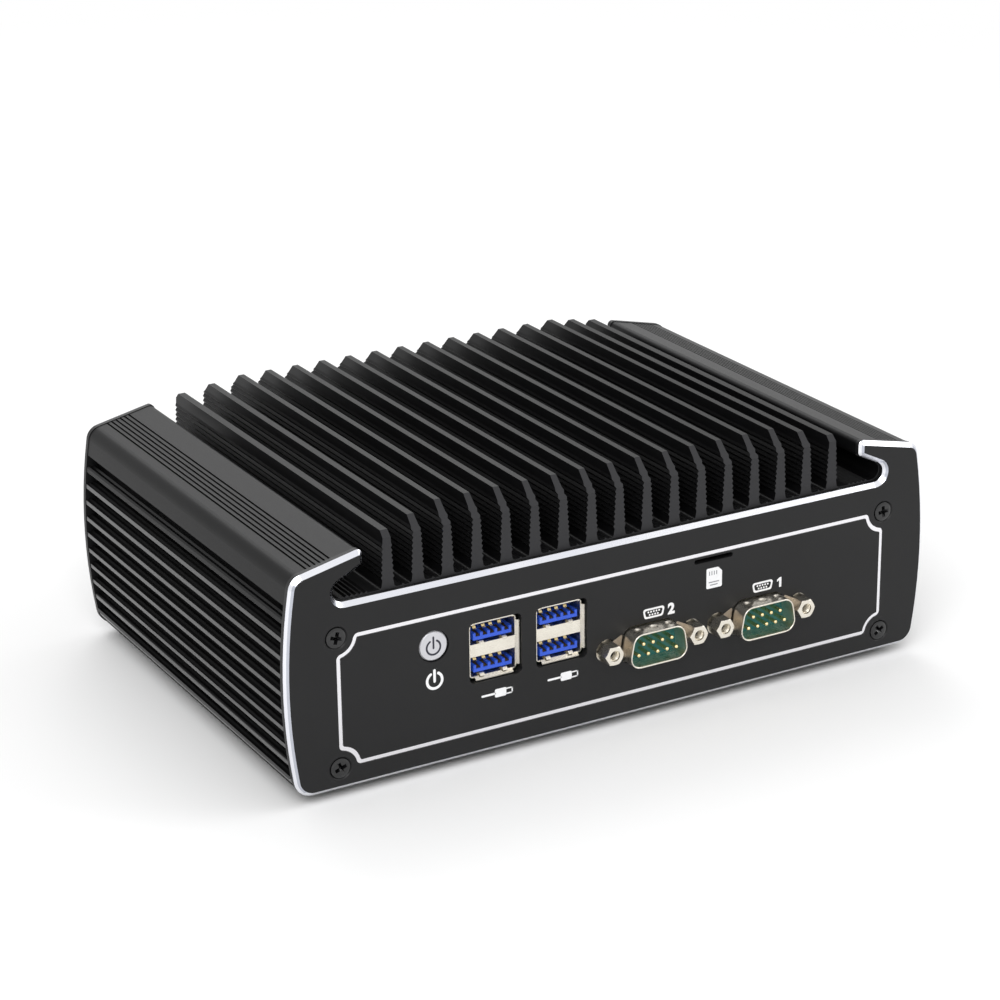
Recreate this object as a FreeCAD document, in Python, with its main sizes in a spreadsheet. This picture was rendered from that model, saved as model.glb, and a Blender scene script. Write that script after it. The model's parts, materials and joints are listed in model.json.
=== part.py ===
"""Fanless industrial PC: a finned, extruded aluminium housing closed by two chamfered end panels.

Lengths are in millimetres and angles in degrees. +X runs to the right along the front, +Y to the
back and +Z up. The origin is under the middle of the whole part, at the bottom of its feet.
Inside this file every place is given from the case: x from its centre plane, y from the front
panel's face and z from its underside; place() carries that to the part's own frame.
"""
import FreeCAD, Part
import Sketcher
import math
import os
import re
from types import SimpleNamespace

from FreeCAD import Placement, Rotation, Vector

# ---------------------------------------------------------------- driving dimensions
SIZES = [
    # case and its two end panels
    ("case_width", 186.0, "across the bowed sides"),
    ("case_depth", 125.5, "front panel face to rear panel face"),
    ("foot_height", 2.5, "feet, below the case"),
    ("panel_thickness", 2.5, "end panels"),
    ("panel_chamfer", 1.1, "bright chamfer round each end panel"),
    ("panel_reveal", 0.15, "how far the panels stand proud of the extrusion"),
    ("side_radius", 150.0, "bow of the sides"),
    ("side_crest", 27.5, "height of the widest point"),
    ("bottom_corner", 5.0, "radius of the lower corners"),
    ("wing_corner", 4.0, "radius of the upper outer corners"),
    ("mid_height", 47.75, "top edge of the panels between the wings"),
    ("notch_radius", 2.75, "hook under each wing"),
    ("notch_inset", 13.5, "side to the bottom of the hook"),
    ("underside_angle", 26.5, "slope of the wing's underside"),
    ("nose_inset", 21.5, "side to the wing's nose"),
    ("nose_rise", 12.6, "nose above the mid edge, before its corner is rounded"),
    ("nose_corner", 1.3, "radius of the nose's corners"),
    ("wing_slope", 12.5, "slope of the wing's top"),
    # bright line milled round the ports
    ("line_inset", 14.0, "side to the upright runs"),
    ("line_low", 6.15, "lower run"),
    ("line_drop", 8.7, "mid edge down to the upper run"),
    ("line_width", 1.1, "width of the line"),
    ("line_depth", 0.2, "depth of the line"),
    ("line_bay", 5.0, "bay round each screw"),
    ("line_blend", 0.9, "rounding where a bay meets a run"),
    # extruded housing
    ("floor_rise", 0.25, "valley floors between the fins, above the mid edge"),
    ("top_wall", 4.5, "roof under the valley floors"),
    ("wall_inset", 8.0, "side to the inner face of its wall"),
    ("ledge_width", 9.0, "cover's seat on its ledge"),
    ("ledge_thickness", 3.0, "ledge that the bottom cover is screwed to"),
    ("boss_radius", 3.3, "screw channels"),
    ("fin_gap", 1.0, "least floor between the outer fins and the ridges beside them"),
    ("fin_pitch", 8.03, "fin to fin"),
    ("fin_height", 17.7, "fins above their floor"),
    ("fin_tip", 1.6, "thickness at the tip"),
    ("fin_root", 3.4, "thickness at the root"),
    ("fin_fillet", 0.8, "radius at the root"),
    ("fin_chamfer", 4.9, "sloped ends of the fins"),
    ("edge_fin_drop", 3.4, "how much lower the outermost fins are"),
    ("next_fin_drop", 1.6, "how much lower the fins beside them are"),
    ("tooth_pitch", 1.3, "teeth on the fin faces"),
    ("tooth_depth", 0.34, "depth of the teeth"),
    ("tooth_start", 2.2, "plain root below the teeth"),
    ("tooth_end", 2.0, "plain tip above the teeth"),
    ("floor_ridge", 0.45, "height and half width of the ridges on the floors"),
    ("hook_ridge_count", 5, "ridges on the floor under each wing"),
    ("hook_ridge_pitch", 1.3, "ridge to ridge under a wing"),
    ("hook_ridge_inset", 23.0, "side to the first ridge under a wing"),
    ("groove_pitch", 4.54, "groove to groove"),
    ("groove_height", 3.44, "opening of a groove"),
    ("groove_low", 6.73, "middle of the lowest groove"),
    ("groove_wall", 3.8, "side wall left behind the grooves"),
    ("groove_ridge", 0.4, "height and half width of the fine ridges in a groove"),
    ("groove_ridge_pitch", 1.5, "fine ridge to fine ridge"),
    ("wing_groove_count", 6, "fine grooves on each wing"),
    ("wing_groove_pitch", 1.25, "groove to groove on a wing"),
    ("wing_groove_size", 0.5, "width and depth of a wing groove"),
    ("wing_groove_inset", 14.15, "side to the innermost wing groove"),
    # screws
    ("panel_screw_inset", 13.6, "side to the panel screws"),
    ("panel_screw_low", 5.7, "lower panel screws"),
    ("panel_screw_drop", 8.35, "mid edge down to the upper panel screws"),
    ("screw_radius", 1.45, "M3 shank"),
    ("screw_length", 8.0, "M3 panel screw, over all"),
    ("head_radius", 2.7, "countersunk head"),
    ("head_rim", 0.2, "straight rim of a countersunk head"),
    ("head_set", 0.1, "head below the face round it"),
    ("thread_play", 0.05, "shank to tapped hole"),
    ("screw_play", 0.2, "shank to plain hole"),
    ("recess_reach", 1.45, "half length of a cross recess"),
    ("recess_width", 0.62, "width of a cross recess"),
    ("recess_depth", 0.9, "depth of a cross recess"),
    # bottom cover and feet
    ("cover_thickness", 1.5, "sheet"),
    ("cover_inset", 5.0, "wall's inner face to the edge of the cover"),
    ("cover_play", 0.25, "cover to the case round it"),
    ("cover_screw_edge", 4.5, "edge of the cover to its screws"),
    ("cover_screw_inset", 33.0, "cover screws from the ends of the case"),
    ("cover_screw_length", 4.4, "cover screw, over all"),
    ("foot_radius", 5.0, "rubber foot, at the cover"),
    ("foot_taper", 0.7, "how much smaller the foot's tread is"),
    ("foot_edge", 15.0, "edge of the cover to the feet"),
    ("foot_inset", 17.5, "feet from the ends of the case"),
    ("mount_pitch", 75.0, "square pattern of the bracket's screws"),
    ("mount_radius", 2.0, "M4 thread"),
    ("nut_radius", 3.6, "clinch nut"),
    ("nut_height", 3.0, "clinch nut above the cover"),
    # mainboard and what carries it
    ("board_side", 13.0, "mainboard to the side walls"),
    ("board_gap", 1.0, "mainboard to the end panels"),
    ("board_thickness", 1.6, "circuit boards"),
    ("post_edge", 6.0, "edge of the mainboard to the standoffs"),
    ("post_inset", 24.0, "standoffs from the ends of the case"),
    ("post_radius", 3.0, "standoffs, across the corners"),
    ("pan_radius", 2.75, "head of a board screw"),
    ("pan_height", 2.0, "head of a board screw"),
    ("block_gap", 1.7, "heat block to the memory"),
    ("cpu_size", 32.0, "side of the processor's substrate"),
    ("cpu_height", 1.6, "processor above the board"),
    ("pad_thickness", 0.5, "thermal pads"),
    ("block_size", 42.0, "side of the heat block"),
    ("memory_edge", 3.7, "edge of the mainboard to the memory"),
    ("memory_gap", 3.5, "memory socket to the rear standoffs"),
    ("memory_width", 67.6, "width of the module"),
    ("memory_length", 30.0, "memory module"),
    ("memory_rise", 2.6, "module above the board"),
    ("card_thickness", 1.0, "memory and storage cards"),
    ("socket_height", 5.2, "memory socket"),
    ("socket_depth", 7.0, "memory socket"),
    ("socket_lap", 3.0, "how far a card goes into its socket"),
    ("storage_x", -25.0, "storage card from the centre plane"),
    ("storage_y", 31.0, "socket of the storage card from the front"),
    ("storage_width", 22.0, "storage card"),
    ("storage_length", 60.0, "storage card"),
    ("storage_rise", 2.0, "storage card under the board"),
    ("storage_socket_height", 4.2, "socket of the storage card"),
    ("cell_radius", 10.0, "coin cell"),
    ("cell_height", 3.2, "coin cell"),
    ("cell_x", 32.0, "coin cell from the centre plane"),
    ("cell_y", 30.0, "coin cell from the front"),
    ("holder_wall", 1.5, "holder round the coin cell"),
    ("holder_floor", 1.2, "holder under the coin cell"),
    # USB stacks
    ("usb_after", 16.95, "power button to the first stack"),
    ("usb_bar", 4.05, "panel left between the stacks' windows"),
    ("usb_z", 27.0, "middle of the stacks"),
    ("usb_width", 13.1, "shell"),
    ("usb_height", 14.3, "shell"),
    ("usb_depth", 17.5, "shell"),
    ("usb_set", 0.8, "shell behind the panel's face"),
    ("usb_wall", 0.4, "shell"),
    ("usb_port_height", 5.1, "opening of one port"),
    ("usb_port_depth", 12.0, "opening of one port"),
    ("usb_corner", 1.1, "rounded corners of the shell"),
    ("usb_lip", 0.55, "how far the shell's lips flare out"),
    ("usb_lip_depth", 0.8, "lips, front to back"),
    ("usb_lip_end", 1.3, "bare corner beside a lip"),
    ("usb_cut_side", 0.2, "lips to their window, at the sides"),
    ("usb_cut_top", 0.25, "lips to their window, above and below"),
    ("usb_cut_corner", 1.4, "window in the panel"),
    ("tongue_width", 10.7, "tongue in a port"),
    ("tongue_height", 1.84, "tongue in a port"),
    ("tongue_rise", 1.0, "tongue above the port's floor"),
    ("tongue_set", 0.9, "tongue behind the shell's rim"),
    ("slot_count", 5, "notches in a tongue's front, one for each short contact"),
    ("slot_pitch", 2.0, "notch to notch"),
    ("slot_width", 1.25, "one notch"),
    ("slot_length", 3.0, "one notch"),
    ("slot_depth", 0.95, "one notch"),
    ("strip_height", 0.3, "short contact in a notch"),
    ("strip_set", 0.5, "short contact behind the tongue's front"),
    ("contact_near", 1.0, "inner long contacts from a port's middle"),
    ("contact_far", 3.5, "outer long contacts from a port's middle"),
    ("contact_width", 1.1, "one contact"),
    ("contact_height", 0.35, "one contact"),
    ("contact_length", 7.0, "one contact"),
    # serial ports
    ("com_after", 25.4, "second USB stack to the first serial port"),
    ("com_gap", 2.2, "flange to flange"),
    ("com_z", 19.2, "middle of the serial ports"),
    ("com_shell_clear", 8.07, "how much narrower the D is than the jack nuts' pitch"),
    ("com_shell_height", 8.36, "inside of the D shell"),
    ("com_shell_wall", 0.45, "D shell"),
    ("com_shell_reach", 6.0, "D shell in front of its flange"),
    ("com_corner", 2.5, "corners of the D"),
    ("dimple_count", 3, "dimples along the top and the bottom of the D"),
    ("dimple_pitch", 4.6, "dimple to dimple"),
    ("dimple_radius", 2.2, "ball that the dimples are pressed with"),
    ("dimple_depth", 0.3, "one dimple"),
    ("dimple_set", 2.9, "dimples behind the D's rim"),
    ("com_slant", 10.0, "slant of the D's sides"),
    ("com_flange_set", 1.0, "flange behind the panel's face"),
    ("com_flange_margin", 2.905, "flange beyond its jack nuts"),
    ("com_flange_height", 12.5, "flange"),
    ("com_flange_thickness", 0.8, "flange"),
    ("com_pocket_play", 0.3, "flange to the pocket milled for it"),
    ("com_window_play", 0.35, "D shell to its window"),
    ("com_well", 5.2, "depth of the well that the pins stand in"),
    ("com_body_depth", 3.2, "wide part of the insulator"),
    ("com_tail_depth", 4.0, "narrow part of the insulator"),
    ("com_tail_width", 19.0, "narrow part of the insulator"),
    ("pin_radius", 0.5, "contact pins"),
    ("pin_pitch", 2.77, "pin to pin in a row"),
    ("pin_row", 2.84, "row to row"),
    ("pin_tip", 4.6, "pins in front of the insulator"),
    ("jack_pitch", 24.99, "jack nut to jack nut"),
    ("jack_across", 4.75, "jack nut, across its flats"),
    ("jack_height", 5.0, "jack nut in front of the flange"),
    ("jack_bevel", 0.2, "bevelled end of a jack nut"),
    ("jack_bore", 1.42, "thread of a jack nut"),
    ("jack_bore_depth", 4.4, "thread of a jack nut"),
    ("jack_hole", 3.05, "hole in the panel round a jack nut"),
    ("com_board_rise", 6.8, "serial board above and below the ports' middle"),
    ("com_board_margin", 1.0, "serial board beyond its flanges"),
    ("header_width", 24.0, "header between the boards"),
    ("header_height", 2.5, "header between the boards"),
    ("header_lap", 4.6, "header on the mainboard"),
    ("board_bay_gap", 1.4, "serial board to the mainboard"),
    # power button
    ("button_edge_gap", 25.3, "milled line's upright run to the button"),
    ("button_z", 31.5, "from the underside"),
    ("button_radius", 3.85, "cap"),
    ("button_play", 0.25, "cap to the panel"),
    ("button_set", 0.2, "cap behind the panel's face"),
    ("button_rest", 0.05, "flange to the panel, at rest"),
    ("button_flange", 4.9, "radius of the flange"),
    ("button_flange_thickness", 0.8, "flange"),
    ("button_stem", 1.5, "radius of the stem"),
    ("button_stem_length", 2.6, "stem"),
    ("button_travel", 0.8, "stroke"),
    ("button_edge", 0.3, "bevelled edge of the cap"),
    ("plunger_radius", 1.7, "plunger of the switch"),
    ("plunger_length", 2.6, "plunger of the switch"),
    ("plunger_play", 0.08, "plunger to its bore"),
    ("plunger_reach", 1.3, "plunger in front of the switch"),
    ("switch_size", 6.2, "side of the switch"),
    ("switch_depth", 3.6, "switch"),
    ("button_board_width", 18.0, "board behind the switch"),
    ("button_board_height", 17.0, "board behind the switch"),
    # SIM slot
    ("sim_after", 19.1, "first serial port to the slot"),
    ("sim_drop", 1.65, "milled line down to the slot"),
    ("sim_slot_width", 11.6, "slot in the panel"),
    ("sim_slot_height", 1.25, "slot in the panel"),
    ("sim_holder_width", 14.6, "card holder"),
    ("sim_holder_depth", 15.0, "card holder"),
    ("sim_holder_wall", 0.4, "card holder"),
    ("sim_holder_gap", 0.3, "card holder to the panel"),
    ("sim_board_reach", 15.0, "half width of its board"),
    ("sim_board_depth", 22.0, "its board"),
    ("sim_post_x", 12.0, "posts from the slot's middle"),
    ("sim_post_y", 19.0, "posts from the panel"),
    ("sim_post_radius", 2.2, "posts"),
    # rear ports, from the centre plane and seen along +Y
    ("rear_set", 0.8, "rear ports behind the rear panel's face"),
    ("port_play", 0.35, "rear ports to their windows"),
    ("lan_after", 32.0, "first sound jack to the first network port"),
    ("lan_bar", 0.9, "panel left between the network windows"),
    ("lan_width", 16.0, "shell"),
    ("lan_height", 13.4, "shell"),
    ("lan_depth", 21.0, "shell"),
    ("lan_wall", 0.35, "shell"),
    ("lan_hole_width", 11.9, "opening for the plug"),
    ("lan_hole_height", 8.0, "opening for the plug"),
    ("lan_hole_depth", 13.0, "opening for the plug"),
    ("lan_hole_rise", 2.0, "opening above the board"),
    ("lan_latch_width", 6.2, "room for the plug's latch"),
    ("lan_latch_height", 1.6, "room for the plug's latch"),
    ("hdmi_before", 39.0, "power inlet to the first video port"),
    ("hdmi_bar", 2.8, "panel left between the video windows"),
    ("hdmi_width", 15.0, "shell"),
    ("hdmi_height", 5.5, "shell"),
    ("hdmi_depth", 11.5, "shell"),
    ("hdmi_wall", 0.35, "shell"),
    ("hdmi_cant", 2.0, "slanted lower corners of the shell"),
    ("hdmi_well", 8.0, "depth of the opening"),
    ("hdmi_tongue_width", 12.6, "tongue"),
    ("hdmi_tongue_height", 1.4, "tongue"),
    ("dc_inset", 17.0, "milled line's upright run to the power inlet"),
    ("dc_width", 9.0, "power inlet"),
    ("dc_height", 11.0, "power inlet"),
    ("dc_depth", 14.0, "power inlet"),
    ("dc_bore", 3.15, "power inlet, for a 5.5 mm plug"),
    ("dc_bore_depth", 9.5, "power inlet"),
    ("dc_pin", 1.05, "centre pin"),
    ("audio_inset", 33.0, "milled line's upright run to the first sound jack"),
    ("audio_pitch", 12.5, "sound jack to sound jack"),
    ("audio_width", 7.0, "body"),
    ("audio_height", 7.0, "body"),
    ("audio_depth", 12.0, "body"),
    ("audio_bore", 1.8, "bore, for a 3.5 mm plug"),
    ("audio_bore_depth", 14.0, "bore"),
    ("audio_collar", 2.9, "radius of the collar"),
    ("plug_clear", 0.9, "power inlet to the antenna hole plug beside it"),
    ("plug_z", 33.0, "antenna hole plugs"),
    ("plug_radius", 3.2, "antenna hole"),
    ("plug_flange", 4.6, "head of a plug"),
    ("plug_head", 0.8, "head of a plug"),
    ("plug_length", 4.0, "plug inside the head"),
    ("plug_play", 0.1, "plug to its hole"),
]

# Places and sizes that follow from the ones above.
FOLLOWING = [
    ("notch_reach", "case_width / 2 - notch_inset", "centre plane to the bottom of the hook"),
    ("nose_reach", "case_width / 2 - nose_inset", "centre plane to the wing's nose"),
    ("nose_height", "mid_height + nose_rise", "top of the nose, before its corner is rounded"),
    ("line_reach", "case_width / 2 - line_inset", "centre plane to the upright runs"),
    ("line_high", "mid_height - line_drop", "upper run"),
    ("floor_height", "mid_height + floor_rise", "valley floors between the fins"),
    ("ceiling_height", "floor_height - top_wall", "inner face of the top wall"),
    ("wall_reach", "case_width / 2 - wall_inset", "centre plane to a side wall's inner face"),
    ("wing_groove_start", "case_width / 2 - wing_groove_inset", "innermost wing groove"),
    ("hook_ridge_start", "case_width / 2 - hook_ridge_inset", "first ridge under a wing"),
    ("fin_reach", "hook_ridge_start - floor_ridge - fin_gap - fin_root / 2 - fin_fillet",
     "furthest middle of a fin"),
    ("fin_count", "2 * floor(fin_reach / fin_pitch) + 1", "fins"),
    ("panel_screw_x", "case_width / 2 - panel_screw_inset", "panel screws"),
    ("panel_screw_high", "mid_height - panel_screw_drop", "upper panel screws"),
    ("cover_reach", "wall_reach - cover_inset", "half width of the cover"),
    ("ledge_reach", "cover_reach - ledge_width", "edge of the cover's ledge"),
    ("cover_screw_x", "cover_reach - cover_screw_edge", "cover screws"),
    ("foot_x", "cover_reach - foot_edge", "feet"),
    ("board_reach", "wall_reach - board_side", "half width of the mainboard"),
    ("post_x", "board_reach - post_edge", "standoffs"),
    ("memory_x", "board_reach - memory_edge - memory_width / 2", "memory"),
    ("memory_y", "case_depth - post_inset - post_radius - memory_gap - socket_depth", "its socket"),
    ("cpu_x", "memory_x - memory_width / 2 - block_gap - block_size / 2", "processor"),
    ("cpu_y", "case_depth / 2", "processor"),
    ("button_x", "button_edge_gap - line_reach", "power button"),
    ("usb_x", "button_x + usb_after", "first USB stack"),
    ("usb_cut_width", "usb_width + 2 * usb_lip + 2 * usb_cut_side", "USB window"),
    ("usb_cut_height", "usb_height + 2 * usb_lip + 2 * usb_cut_top", "USB window"),
    ("usb_pitch", "usb_cut_width + usb_bar", "stack to stack"),
    ("com_x", "usb_x + usb_pitch + com_after", "first serial port"),
    ("com_shell_width", "jack_pitch - com_shell_clear", "inside of the D shell, at its wide side"),
    ("com_flange_width", "jack_pitch + 2 * com_flange_margin", "flange"),
    ("com_pitch", "com_flange_width + com_gap", "serial port to serial port"),
    ("com_board_low", "com_z - com_board_rise", "underside of the serial board"),
    ("com_board_high", "com_z + com_board_rise", "top of the serial board"),
    ("sim_x", "com_x + sim_after", "card slot"),
    ("sim_z", "line_high - sim_drop", "card slot"),
    ("dc_x", "line_reach - dc_inset", "power inlet"),
    ("plug_x", "dc_x - dc_width / 2 - plug_clear - plug_flange", "antenna hole plugs"),
    ("hdmi_x", "dc_x - hdmi_before", "first video port"),
    ("hdmi_pitch", "hdmi_width + 2 * port_play + hdmi_bar", "video port to video port"),
    ("audio_x", "audio_inset - line_reach", "first sound jack"),
    ("lan_x", "audio_x + lan_after", "first network port"),
    ("lan_pitch", "lan_width + 2 * port_play + lan_bar", "network port to network port"),
]

doc = FreeCAD.newDocument("FanlessPC")
sheet = doc.addObject("Spreadsheet::Sheet", "Sizes")
rows = SIZES + [(alias, f"={formula}", note) for alias, formula, note in FOLLOWING]
for row, (alias, value, note) in enumerate(rows, start=1):
    sheet.set(f"A{row}", note)
    sheet.setAlias(f"B{row}", alias)
    sheet.set(f"B{row}", str(value))
doc.recompute()
S = SimpleNamespace(**{alias: float(sheet.get(alias)) for alias, _, _ in rows})

# Places that several pieces share, as formulas over the sheet.
FRONT = "((com_shell_reach - com_flange_set - plug_head - case_depth) / 2)"
INNER_FRONT = "panel_thickness"
INNER_REAR = "(case_depth - panel_thickness)"
BOARD_TOP = "(usb_z - usb_height / 2)"
REAR_PORT = "(case_depth - rear_set)"
COM_BOARD_FRONT = "(com_flange_set + com_flange_thickness + com_body_depth + com_tail_depth)"
SWITCH_FRONT = ("(panel_thickness + button_rest + button_flange_thickness + button_stem_length"
                " + plunger_reach)")
SIM_TOP = "(sim_z + sim_slot_height / 2 + sim_holder_wall)"
COUNTERSINK = "(head_radius + head_rim + head_set - screw_radius - screw_play)"

nodes = {}


# ---------------------------------------------------------------- helpers
def bind(obj, prop, formula):
    """Tie a property to a formula; every name with an underscore is a cell of the sheet."""
    obj.setExpression(prop, re.sub(r"[a-z]+(_[a-z0-9]+)+", r"Sizes.\g<0>", str(formula)))


def place(obj, x="0", y="0", z="0"):
    """Place an object by its case coordinates."""
    bind(obj, "Placement.Base.x", x)
    bind(obj, "Placement.Base.y", f"{FRONT} + {y}")
    bind(obj, "Placement.Base.z", f"foot_height + {z}")
    return obj


def node(obj, name):
    """Name a finished sub-part; its label names its file."""
    obj.Label = name
    nodes[name] = obj
    return obj


def box(x, y, z, dx, dy, dz):
    """Box from its low corner."""
    obj = doc.addObject("Part::Box", "Box")
    bind(obj, "Length", dx)
    bind(obj, "Width", dy)
    bind(obj, "Height", dz)
    return place(obj, x, y, z)


def mid_box(x, y, z, dx, dy, dz):
    """Box centred on x, from its low y and z."""
    return box(f"{x} - ({dx}) / 2", y, z, dx, dy, dz)


def aimed(obj, axis):
    """Turn an object that is built along +Z towards +Y, when it is to run front to back."""
    if axis == "Y":
        obj.Placement = Placement(Vector(), Rotation(Vector(1, 0, 0), -90))
    return obj


def rod(axis, x, y, z, radius, length):
    """Cylinder that starts at a point and runs along +Y or +Z."""
    obj = aimed(doc.addObject("Part::Cylinder", "Rod"), axis)
    bind(obj, "Radius", radius)
    bind(obj, "Height", length)
    return place(obj, x, y, z)


def taper(axis, x, y, z, radius, far_radius, length):
    """Cone that starts at a point and runs along +Y or +Z."""
    obj = aimed(doc.addObject("Part::Cone", "Taper"), axis)
    bind(obj, "Radius1", radius)
    bind(obj, "Radius2", far_radius)
    bind(obj, "Height", length)
    return place(obj, x, y, z)


def hexagon(axis, x, y, z, corner_radius, length):
    """Hexagonal bar that starts at a point."""
    obj = aimed(doc.addObject("Part::Prism", "Hexagon"), axis)
    obj.Polygon = 6
    bind(obj, "Circumradius", corner_radius)
    bind(obj, "Height", length)
    return place(obj, x, y, z)


def ball(x, y, z, radius):
    obj = doc.addObject("Part::Sphere", "Ball")
    bind(obj, "Radius", radius)
    return place(obj, x, y, z)


def fuse(*shapes):
    obj = doc.addObject("Part::MultiFuse", "Fuse")
    obj.Shapes = list(shapes)
    return obj


def cut(base, *tools):
    obj = doc.addObject("Part::Cut", "Cut")
    obj.Base = base
    obj.Tool = tools[0] if len(tools) == 1 else fuse(*tools)
    obj.Refine = False
    return obj


def common(base, tool):
    obj = doc.addObject("Part::Common", "Common")
    obj.Base = base
    obj.Tool = tool
    obj.Refine = False
    return obj


def group(pieces):
    """Separate solids that share one node."""
    obj = doc.addObject("Part::Compound", "Group")
    obj.Links = list(pieces)
    return obj


def point(x, z):
    return Vector(x, z, 0)


def polygon(corners):
    """Closed loop of straight edges."""
    ends = corners[1:] + corners[:1]
    return [Part.LineSegment(point(*a), point(*b)) for a, b in zip(corners, ends)]


def arc(centre, radius, start, end):
    """Arc from one angle on to another, in radians."""
    return Part.ArcOfCircle(Part.Circle(centre, Vector(0, 0, 1), radius), start, end)


def short_arc(centre, radius, a, b):
    """The shorter arc between two points round a centre."""
    start = math.atan2(a.y - centre.y, a.x - centre.x)
    sweep = (math.atan2(b.y - centre.y, b.x - centre.x) - start) % math.tau
    if sweep > math.pi:
        start, sweep = start + sweep, math.tau - sweep
    return arc(centre, radius, start, start + sweep)


def rounded(corners, radius):
    """Closed loop of straight edges with every corner rounded."""
    arcs, ends = [], []
    for i, corner in enumerate(corners):
        here = point(*corner)
        back = (point(*corners[i - 1]) - here).normalize()
        ahead = (point(*corners[(i + 1) % len(corners)]) - here).normalize()
        half = back.getAngle(ahead) / 2
        centre = here + (back + ahead).normalize() * (radius / math.sin(half))
        reach = radius / math.tan(half)
        ends.append((here + back * reach, here + ahead * reach))
        arcs.append(short_arc(centre, radius, *ends[-1]))
    sides = [Part.LineSegment(a[1], b[0]) for a, b in zip(ends, ends[1:] + ends[:1])]
    return arcs + sides


def rectangle(x, z, width, height):
    """Corners of a rectangle from its middle."""
    return [(x - width / 2, z - height / 2), (x + width / 2, z - height / 2),
            (x + width / 2, z + height / 2), (x - width / 2, z + height / 2)]


def rectangle_loop(x, z, width, height):
    return polygon(rectangle(x, z, width, height))


def circle(x, z, radius):
    return [Part.Circle(point(x, z), Vector(0, 0, 1), radius)]


# ---------------------------------------------------------------- PartDesign helpers
def new_body(y="0", x="0", z="0"):
    return place(doc.addObject("PartDesign::Body", "Body"), x, y, z)


def sketch_on(body, loops, start="0", role="XZ_Plane"):
    """Sketch of closed loops on a base plane, moved start along +Y, +Z or +X."""
    plane = next(item for item in body.Origin.OriginFeatures if item.Role == role)
    sketch = body.newObject("Sketcher::SketchObject", "Profile")
    sketch.AttachmentSupport = [(plane, "")]
    sketch.MapMode = "FlatFace"
    bind(sketch, "AttachmentOffset.Base.z", f"-({start})" if role == "XZ_Plane" else start)
    for loop in loops:
        sketch.addGeometry(loop, False)
    return sketch


def pad(body, loops, length, start="0", role="XZ_Plane"):
    """Pad towards +Y (or +Z from the XY plane)."""
    sketch = sketch_on(body, loops, start, role)
    feature = body.newObject("PartDesign::Pad", "Pad")
    feature.Profile = sketch
    feature.Reversed = role == "XZ_Plane"
    bind(feature, "Length", length)
    feature.Refine = False
    doc.recompute()
    return feature


def pocket(body, loops, length=None, start="0", role="XZ_Plane"):
    """Pocket towards +Y (or +Z from the XY plane); through everything when no length is given."""
    before = body.Shape.Volume
    sketch = sketch_on(body, loops, start, role)
    feature = body.newObject("PartDesign::Pocket", "Pocket")
    feature.Profile = sketch
    feature.Reversed = role != "XZ_Plane"
    if length is None:
        feature.Type = "ThroughAll"
    else:
        bind(feature, "Length", length)
    feature.Refine = False
    doc.recompute()
    if body.Shape.Volume >= before:
        raise RuntimeError(f"{feature.Name} in {body.Label} removes nothing")
    return feature


def dress(body, kind, feature, names, prop, formula):
    """Fillet or chamfer on named edges of a feature."""
    result = body.newObject(f"PartDesign::{kind}", kind)
    result.Base = (feature, names)
    bind(result, prop, formula)
    result.Refine = False
    doc.recompute()
    return result


# ---------------------------------------------------------------- outline of the case
def line(a, b):
    return Part.LineSegment(point(*a), point(*b))


def chain(corners):
    """Open run of straight edges."""
    return [line(a, b) for a, b in zip(corners, corners[1:])]


def bow(z, inset):
    """Half width of the bowed side at a height."""
    radius = S.side_radius - inset
    return S.case_width / 2 - S.side_radius + math.sqrt(radius ** 2 - (z - S.side_crest) ** 2)


def wing_top(x, inset):
    """Height of the sloping wing top."""
    slope = math.radians(S.wing_slope)
    return S.nose_height - inset / math.cos(slope) - math.tan(slope) * (x - S.nose_reach)


def wing_corner(inset):
    """Where the sloping top meets the bowed side: the line cuts the side's circle."""
    radius = S.side_radius - inset
    centre_x = S.case_width / 2 - S.side_radius
    slope = math.tan(math.radians(S.wing_slope))
    rise = wing_top(centre_x, inset) - S.side_crest
    square, cross = 1 + slope ** 2, slope * rise
    run = (cross + math.sqrt(cross ** 2 - square * (rise ** 2 - radius ** 2))) / square
    return centre_x + run, S.side_crest + rise - slope * run


def hook_centre():
    return S.notch_reach - S.notch_radius, S.mid_height + S.notch_radius


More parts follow.
